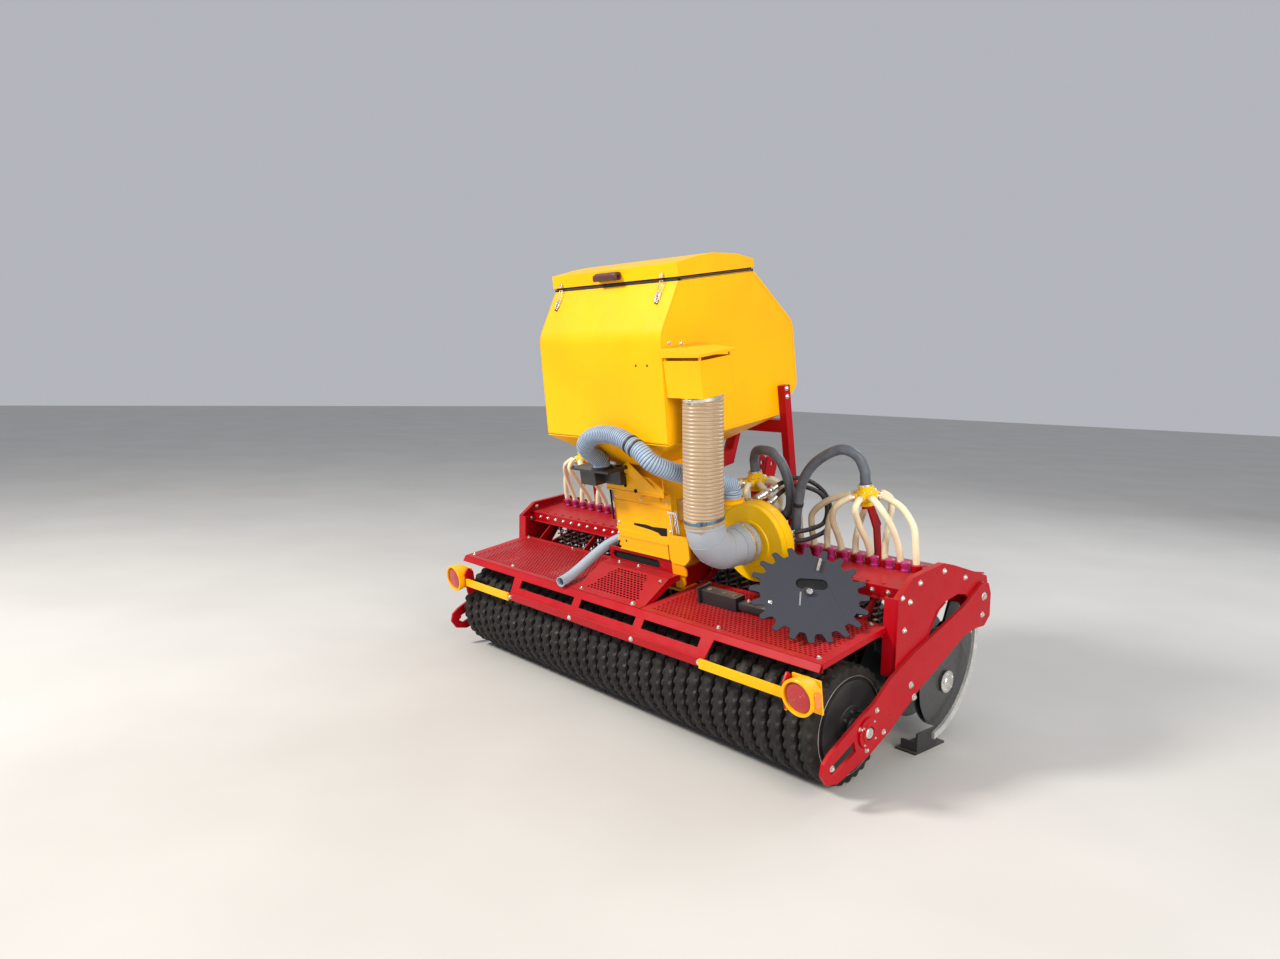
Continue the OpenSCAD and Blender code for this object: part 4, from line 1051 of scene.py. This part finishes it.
g.rod((536 - 16, 226, 560 + 93), (536 + 22, 226, 560 + 92), 4.4, n=12)
make("elbow_clamp", g, bolt_m, "machine", bevel=0.6)
fc = np.array((560, 300, 556))
g = Geo()
# rolled rims, pressed steps and the spiral's cover
g.lathe((560, 262, 556), (0, -1, 0), [(92, 0.2), (92, 5), (104, 5), (107, 0.2)], 96, close=True)
for y in (266, 341):
    g.torus((560, y, 556), (0, 1, 0), 178.4, 2.2, 96, 8)
g.lathe((560, 345, 556), (0, 1, 0), [(60, 0), (60, 4), (100, 6), (112, 0)], 72, close=True)
g.lathe((560, 303, 556), (0, 1, 0), [(177, -9), (180.4, -9), (180.4, 9), (177, 9)], 96, close=True)
# the rims take the paler copy of the yellow paint: painted sunlight
make("fan_rims", g, sunlit_yellow_m, "machine", angle=40)
g = Geo()
for x, z in ((392, 404), (440, 404), (488, 404), (392, 506), (488, 506)):
    g.bolt((x, 345, z), (0, -1, 0), 7, 5)
for a in (40, 140, 220, 320):
    g.bolt((560 + 40*math.cos(math.radians(a)), 450, 556 + 40*math.sin(math.radians(a))), (0, 1, 0), 5.5, 5, False)
make("fan_bolts", g, bolt_m, "machine")
g = Geo()
g.lathe((432, 308, 742), (0, 0, 1), [(46.5, -10), (50.5, -10), (51, -8), (51, -2), (49, 0), (46.5, 0)], 40, close=True)
g.lathe((432, 308, 714), (0, 0, 1), [(47, -4), (52, -4), (52, 4), (47, 4)], 40, close=True)
# the outlet collar takes the deeper copy of the yellow paint: painted shade
make("outlet_collar", g, shaded_yellow_m, "machine")
g = Geo()
for y in (360, 380, 400, 420, 436):
    g.lathe((560, y, 556), (0, 1, 0), [(47, -3), (49.6, -3), (49.6, 3), (47, 3)], 40, close=True)
g.lathe((560, 450, 556), (0, 1, 0), [(0.5, 0), (34, 0), (34, 7), (30, 10), (0.5, 10)], 32)
make("motor_fins", g, M["blue_paint"], "machine")

# ---------------------------------------------------------------- coil springs
g = Geo(); gr = Geo()
for i in range(-16, 17):
    x = i*75
    z0, z1, turns, n_ = 158, 388, 8.5, 12
    pts = []
    for k in range(int(turns*n_) + 1):
        a = 2*math.pi*k/n_
        t = k/(turns*n_)
        pts.append((x + 16.2*math.cos(a), 478 + 16.2*math.sin(a), z0 + (z1 - z0)*t))
    g.tube(pts, 5.0, 6)
    gr.rod((x, 478, 150.2), (x, 478, 395.8), 5.5, n=12)
    for z, s in ((150.2, 1), (395.8, -1)):
        gr.lathe((x, 478, z), (0, 0, s), [(0.5, 0), (20.5, 0), (20.5, 3), (12, 5), (9, 14), (0.5, 14)], 18)
make("row_coil_springs", g, M["zinc"], "machine", replaces=["element_springs"], angle=70)
make("spring_guide_rods", gr, M["black_paint"], "machine")

# ---------------------------------------------------------------- ring roller
g = Geo()
NS = 120
for i in range(-16, 17):
    x = i*75
    prof = [(85.3, -35.5), (108, -35.5), (111, -31), (186, -31), (190, -35.5), (214, -33), (225, -28), (230, -17), (234, -12), (235.4, 0),
            (234, 12), (230, 17), (225, 28), (214, 33), (190, 35.5), (186, 31), (111, 31), (108, 35.5), (85.3, 35.5)]
    rings = []
    for hi, (r, h) in enumerate(prof):
        ring = []
        for k in range(NS):
            a = 2*math.pi*(k + (1.5 if i % 2 else 0))/NS
            rr = r
            if k % 4 < 2 and hi in (5, 6, 7, 11, 12, 13):
                rr = r + {5: 8, 6: 9.5, 7: 8.0, 11: 8.0, 12: 9.5, 13: 8}[hi]
            ring.append((x + h, rr*math.cos(a), rr*math.sin(a)))
        rings.append(ring)
    g.rings(rings)
make("ring_roller_rings", g, M["ring_iron"], "roller", bevel=0, replaces=["roller_rings"], angle=26)
g = Geo()
for m in (-1, 1):
    g.lathe((m*1240, 0, 0), (m, 0, 0), [(30, 0.1), (84, 0.1), (84, 5), (78, 7), (36, 7), (32, 16), (30, 16)], 48, close=True)
    for k in range(8):
        a = 2*math.pi*k/8
        g.bolt((m*1247, 62*math.cos(a), 62*math.sin(a)), (m, 0, 0), 7, 5)
make("drum_ends", g, M["black_paint"], "roller")
# thin pale lines round the side faces of the end rings
g = Geo()
for m in (-1, 1):
    g.torus((m*1235.6, 0, 0), (1, 0, 0), 196, 1.6, 120, 6)
    g.torus((m*1231.5, 0, 0), (1, 0, 0), 150, 1.2, 96, 6)
make("ring_rim_lines", g, zinc("pale_rim_line", (0.50, 0.49, 0.46), 0.35), "roller")
make_cap = Geo()
for m in (-1, 1):
    make_cap.lathe((m*1321, 0, 0), (m, 0, 0), [(0.5, 0), (22, 0), (22, 4), (19, 7.6), (0.5, 8)], 40)
make("stub_end_caps", make_cap, bolt_m, "roller")
g = Geo()
for m in (-1, 1):
    X = m*1317
    for y, z, r in ((65, 65, 11), (-44, 32, 11), (99, -41, 11), (-14, -66, 11), (-227, -43, 12), (299, 75, 14), (316, 15, 14), (884, 255, 18), (864, 177, 13)):
        g.bolt((X, y, z), (m, 0, 0), r*0.8, r*0.42)
    for k in range(4):
        a = math.pi/4 + math.pi*k/2
        g.bolt((m*1325, 49*math.cos(a), 49*math.sin(a)), (m, 0, 0), 5, 2.2, False)
make("roller_arm_bolts", g, bolt_m, "machine")

# ---------------------------------------------------------------- discs: caps and bolts
for row, y0, rng in (("rear_disc_row", 715, range(-16, 17, 2)), ("front_disc_row", 900, range(-15, 16, 2))):
    g = Geo()
    for i in rng:
        for s in (-1, 1):
            X = i*75 + s*27
            g.lathe((X - s*0.6, y0, -105), (s, 0, 0), [(0.5, 0), (49, 0), (49, 2.6), (44, 5), (26, 6), (23, 9.5), (0.5, 10)], 32)
            for k in range(5):
                a = 2*math.pi*k/5 + 0.3
                g.bolt((X + s*4.6, y0 + 36*math.cos(a), -105 + 36*math.sin(a)), (s, 0, 0), 5.5, 4, False)
    make(row + "_caps", g, bolt_m, row)

# ---------------------------------------------------------------- star wheel of the seed drive, lying on the footboard
ay, az = math.radians(33), math.radians(-29.8)
Ry = np.array([[math.cos(ay), 0, math.sin(ay)], [0, 1, 0], [-math.sin(ay), 0, math.cos(ay)]])
Rz = np.array([[math.cos(az), -math.sin(az), 0], [math.sin(az), math.cos(az), 0], [0, 0, 1]])
RW, CW = Rz @ Ry, np.array((999.0, 103.0, 458.5))


def wfn(u, v, w):
    return tuple(CW + RW @ np.array((u, v, w), float))


teeth = []
for k in range(20):
    a = 2*math.pi*k/20; c_, s_ = math.cos(a), math.sin(a)
    for u, v in ((196, -25), (205, -21), (232, -17), (239, -12), (239.4, 3), (235, 7), (214, 10), (197, 16)):
        teeth.append((u*c_ - v*s_, u*s_ + v*c_))
g = Geo()
hub = circ(0, 0, 15, 28)
su = unit((40, 134))
sv = np.array((-su[1], su[0])); so = np.array((-40.0, 26.0))
big = [tuple(so + p*su + q*sv) for p, q in rrect(-64, -27, 64, 27, 26, 8)]
plate(g, [teeth, hub, big], 0, 6, wfn)
make("star_wheel_plate", g, M["wheel_paint"], "machine", bevel=0.9, replaces=["drive_wheel"])
g = Geo()
ax = RW @ np.array((0, 0, 1.0))
g.lathe(CW, ax, [(15, -60), (33, -60), (34, -58), (34, -4), (34, -0.2), (15.2, -0.2)], 48, close=True)
g.lathe(CW, ax, [(15.4, 6), (19, 6), (19, 9), (17, 10), (15.4, 10)], 32, close=True)
make("star_wheel_hub", g, M["wheel_paint"], "machine", bevel=0.6)
g = Geo()
g.lathe(CW, ax, [(0.5, 12), (13.8, 12), (13.8, 19), (9, 21), (0.5, 21)], 6)
g.bolt(wfn(9, -167, 6), ax, 7, 5)
make("star_wheel_bolts", g, bolt_m, "machine")
# a dark sheet behind the wheel's window: painted shade in the opening
g = Geo()
g.prism([tuple(so + p*su + q*sv) for p, q in rrect(-68, -31, 68, 31, 30, 8)], 1, lambda u, v, w: wfn(u, v, -3 + 2.4*w))
make("star_wheel_window_shade", g, painted_shade_m, "machine")
g = Geo()
g.rod(wfn(-150, 106, 12), wfn(-93, 70, 12), 7, n=16)
g.prism([(-14, -34), (49, -62), (51, -56), (-12, -28)], 1, lambda u, v, w: wfn(u, v, 5.6 + 1.4*w))
make("star_wheel_details", g, bolt_m, "machine", bevel=0.6)
g = Geo()
for x, y, z, d in ((470, 70, 384.5, (0, 0, 1)), (560, 70, 384.5, (0, 0, 1)), (620, 70, 384.5, (0, 0, 1))):
    g.lathe((x, y, z), d, [(5, 0.3), (11, 0.3), (11, 2.2), (8, 3), (5, 3)], 20, close=True)
g.bolt((700, 70, 374.5), (0, 0, 1), 7, 5); g.bolt((436, 46, 380), (-1, 0, 0), 5, 3); g.bolt((436, 94, 336), (-1, 0, 0), 5, 3)
make("drive_arm_details", g, M["zinc"], "machine")

# ---------------------------------------------------------------- rear lights
gy, gr_, go, gb_, gk = Geo(), Geo(), Geo(), Geo(), Geo()
for m, X, Z in ((-1, -1198, 232), (1, 1228, 234)):
    e = 1112 if m < 0 else 1140
    gy.lathe((X, -287.2, Z), (0, 1, 0), [(62, 12), (62, 0), (70, -0.6), (72.8, 2), (72, 12), (70, 30), (66, 54), (60, 70), (48, 74.8), (0.5, 75.1)], 56)
    gr_.lathe((X, -287.2, Z), (0, 1, 0), [(0.5, 1.5), (22, 2.2), (42, 4), (56, 7.5), (61.6, 12.5)], 56)
    for r in (18, 36, 52):
        gr_.torus((X, -287.2 + (1.6 + r*r/520), Z), (0, 1, 0), r, 1.2, 48, 6)
    go.slab(*sorted((X + m*62, X + m*76)), rpoly([(-276, Z - 28), (-276, Z + 30), (-238, Z + 30), (-238, Z - 28)], 18))
    gk.lathe((X, -213.6, Z), (0, 1, 0), [(0.5, 0), (46, 0), (48, 3), (48, 9.6), (0.5, 9.6)], 40)
    gb_.slab(*sorted((m*(e - 2), m*(e + 8))), rpoly([(-259, 150), (-204, 150), (-204, 268), (-230, 296), (-259, 262)], 7))
make("light_cups", gy, M["yellow_paint"], "machine", replaces=["rear_lights"], angle=40)
make("light_lenses", gr_, redlens_m, "machine", angle=50)
make("side_reflectors", go, amber_m, "machine", bevel=1.5)
make("light_backs", gk, M["black_rubber"], "machine", bevel=1.0)
make("light_brackets", gb_, M["red_paint"], "machine", bevel=1.2)

# ---------------------------------------------------------------- parking legs: smooth flat bars
lc, lr = np.array((532.0, 106.0)), 403.0
outer = [tuple(lc + lr*np.array((math.cos(math.radians(a)), math.sin(math.radians(a))))) for a in np.arange(-88, 4.01, 1.5)]
innr = [tuple(lc + (lr - 28)*np.array((math.cos(math.radians(a)), math.sin(math.radians(a))))) for a in np.arange(4, -88.01, -1.5)]
head = [(940, 150), (948, 168), (954, 184), (955, 200), (953, 213), (946, 224), (936, 230), (925, 232), (914, 230), (906, 222), (901, 212), (900, 200), (898, 170), (899, 148)]
for side, m in (("left", -1), ("right", 1)):
    g = Geo()
    x0, x1 = sorted((m*1244, m*1258))
    plate(g, [outer + head + innr, circ(925, 200, 12.1, 28)], x0, x1, lambda u, v, w: (w, u, v))
    make("parking_leg_" + side, g, galv, side + "_leg", bevel=1.6, replaces=["stand_" + side])
g = Geo()
for m in (-1, 1):
    g.lathe((m*1234, 925, 200), (-m, 0, 0), [(0.5, 0.5), (22, 0.5), (22, 4), (18, 6), (0.5, 6)], 28)
make("leg_pin_caps", g, bolt_m, "machine")

# ---------------------------------------------------------------- metering unit
gy, gd, gz, go = Geo(), Geo(), Geo(), Geo()
gy.box((-207, 92, 765), (207, 98, 771)); gy.box((-209, 92, 846), (124, 99, 852))
gy.box((-209, 126, 700), (209, 131.5, 706)); gy.box((-207, 126, 556), (209, 133, 562))
gy.box((-194, 114, 500), (194, 120.5, 506)); gy.box((-144, 86, 538), (204, 120, 543)); gy.box((-144, 86, 470), (204, 90.5, 476))
gy.slab(206, 212, [(126, 556), (126, 770), (92, 800), (92, 852), (98, 852), (104, 806), (134, 776), (134, 556)])
# gd: a dark patch on the front face and two dark discs, painted shade in the slot and holes
gd.prism([(-74, 590), (-70, 600), (20, 603), (60, 598), (163, 604), (160, 566), (120, 560), (96, 574), (40, 582)], 1, lambda u, v, w: (u, 128.8 + 1.6*w, v))
gd.lathe((-150, 89.6, 506), (0, -1, 0), [(0.5, 0), (6, 0), (6, 0.7), (0.5, 0.7)], 16)
gd.lathe((-96, 89.6, 516), (0, -1, 0), [(0.5, 0), (6, 0), (6, 0.7), (0.5, 0.7)], 16)
gy.slab(-240, -238, [(121, 318), (121, 319), (122, 319)])
for x in (216, 246, 260):
    gz.rod((x, 120, 556), (x, 108, 700), 4, n=12)
gz.box((204, 104, 690), (252, 122, 700)); gz.box((204, 112, 566), (252, 130, 574))
gz.rod((250, 116, 700), (262, 92, 640), 5, n=12)
gy.prism(rpoly([(206, 455), (300, 455), (336, 490), (336, 592), (206, 588)], 26), 1, lambda u, v, w: (u, 92 + 12*w, v))
go.prism(rpoly([(206, 400), (300, 400), (300, 430), (262, 470), (206, 470)], 8), 1, lambda u, v, w: (u, 98 + 8*w, v))
gy.prism([(-75, 878), (-23, 922), (154, 806), (60, 812)], 1, lambda u, v, w: (u, 88 + 4*w, v))
gy.prism([(0, 739), (144, 770), (144, 731)], 1, lambda u, v, w: (u, 122 + 5*w, v))
go.prism(rpoly([(206, 330), (252, 330), (270, 352), (270, 400), (206, 400)], 8), 1, lambda u, v, w: (u, 110 + 9*w, v))
make("metering_ledges", gy, M["yellow_paint"], "machine", bevel=1.2)
make("metering_slot_shade", gd, painted_shade_m, "machine")
make("metering_latch_rods", gz, chrome, "machine", bevel=0.5)
# the side plates take the deeper copy of the yellow paint: painted shade
make("metering_side_plates", go, shaded_yellow_m, "machine", bevel=1.2)
g = Geo()
for x, z in ((-184, 726), (184, 726), (-184, 590), (184, 590), (0, 726), (-184, 538), (184, 538)):
    g.bolt((x, 130 if z > 560 else 120, z), (0, -1, 0), 5.5, 4)
for x in (-190, 100):
    g.bolt((x, 96, 836 if x < 60 else 812), (0, -1, 0), 5, 3.6)
make("metering_bolts", g, bolt_m, "machine")
# painted shade: dark hole discs, a dark sheet behind the slot in the step's front plate, and a dark rod at the left
# edge
g = Geo()
for x, z in ((-61, 799), (11, 777)):
    g.lathe((x, 95.8, z), (0, -1, 0), [(0.5, 0.2), (10, 0.2), (10, 3.5), (6, 6), (0.5, 6)], 20)
g.box((-228, 112, 402), (124, 114, 454))
g.rod((-209, 118, 790), (-209, 118, 606), 5, n=12)
make("metering_shade_details", g, painted_shade_m, "machine")
g = Geo()
g.box((-241.5, 120.4, 318.5), (221.5, 122.2, 401.5)); g.box((-241.5, 120.4, 318.5), (-240, 331, 401.5)); g.box((220, 120.4, 318.5), (221.5, 331, 401.5))
g.box((-241.5, 120.4, 400), (-196, 331, 401.5)); g.box((196, 120.4, 400), (221.5, 331, 401.5))
make("metering_red_base", g, M["red_paint"], "machine", bevel=0.5)
g = Geo()
for x in (-295, -30):
    for y in (-26, 84):
        g.bolt((x, y, 894), (0, 0, 1), 6, 4)
g.lathe((-118, 14, 894), (0, 0, 1), [(46, 0), (54, 0), (54, 3), (49, 4), (49, 11.5), (46, 11.5)], 40, close=True)
make("tray_details", g, M["black_rubber"], "machine")

# ---------------------------------------------------------------- stage and light
floor_me = bpy.data.meshes.new("floor")
floor_me.from_pydata([(-40, -40, 0), (40, -40, 0), (40, 40, 0), (-40, 40, 0)], [], [(0, 1, 2, 3)])
floor = bpy.data.objects.new("floor", floor_me)
scene.collection.objects.link(floor)
fm = Mat("pale_floor", 0.75)
fm.colour(fm.mix(fm.ramp(fm.noise(0.8, 3), 0.3, 0.7), (0.52, 0.51, 0.49), (0.57, 0.56, 0.54)))
fm.bump(fm.noise(30, 4), 0.05, 0.002)
floor_me.materials.append(fm.m)
floor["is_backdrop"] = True
world = bpy.data.worlds.new("studio")
scene.world = world
world.use_nodes = True
bg = world.node_tree.nodes["Background"]
bg.inputs[0].default_value = (0.90, 0.93, 1.0, 1)
bg.inputs[1].default_value = 0.50


def area(name, loc, at, size, power, col=(1, 1, 1)):
    d = bpy.data.lights.new(name, "AREA")
    d.shape = "DISK"; d.size = size; d.energy = power; d.color = col
    o = bpy.data.objects.new(name, d)
    o.location = loc
    o.rotation_euler = (Vector(at) - Vector(loc)).to_track_quat("-Z", "Y").to_euler()
    scene.collection.objects.link(o)


area("key", (-3.2, -6.6, 6.4), (0, 0, 0.8), 1.9, 900, (1.0, 0.95, 0.88))
area("fill", (6.5, -2.0, 3.2), (0, 0, 0.8), 4.0, 330, (1.0, 0.94, 0.84))
area("rim", (1.0, 6.5, 5.5), (0, 0, 0.9), 4.0, 200, (0.95, 0.97, 1.0))

lo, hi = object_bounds()
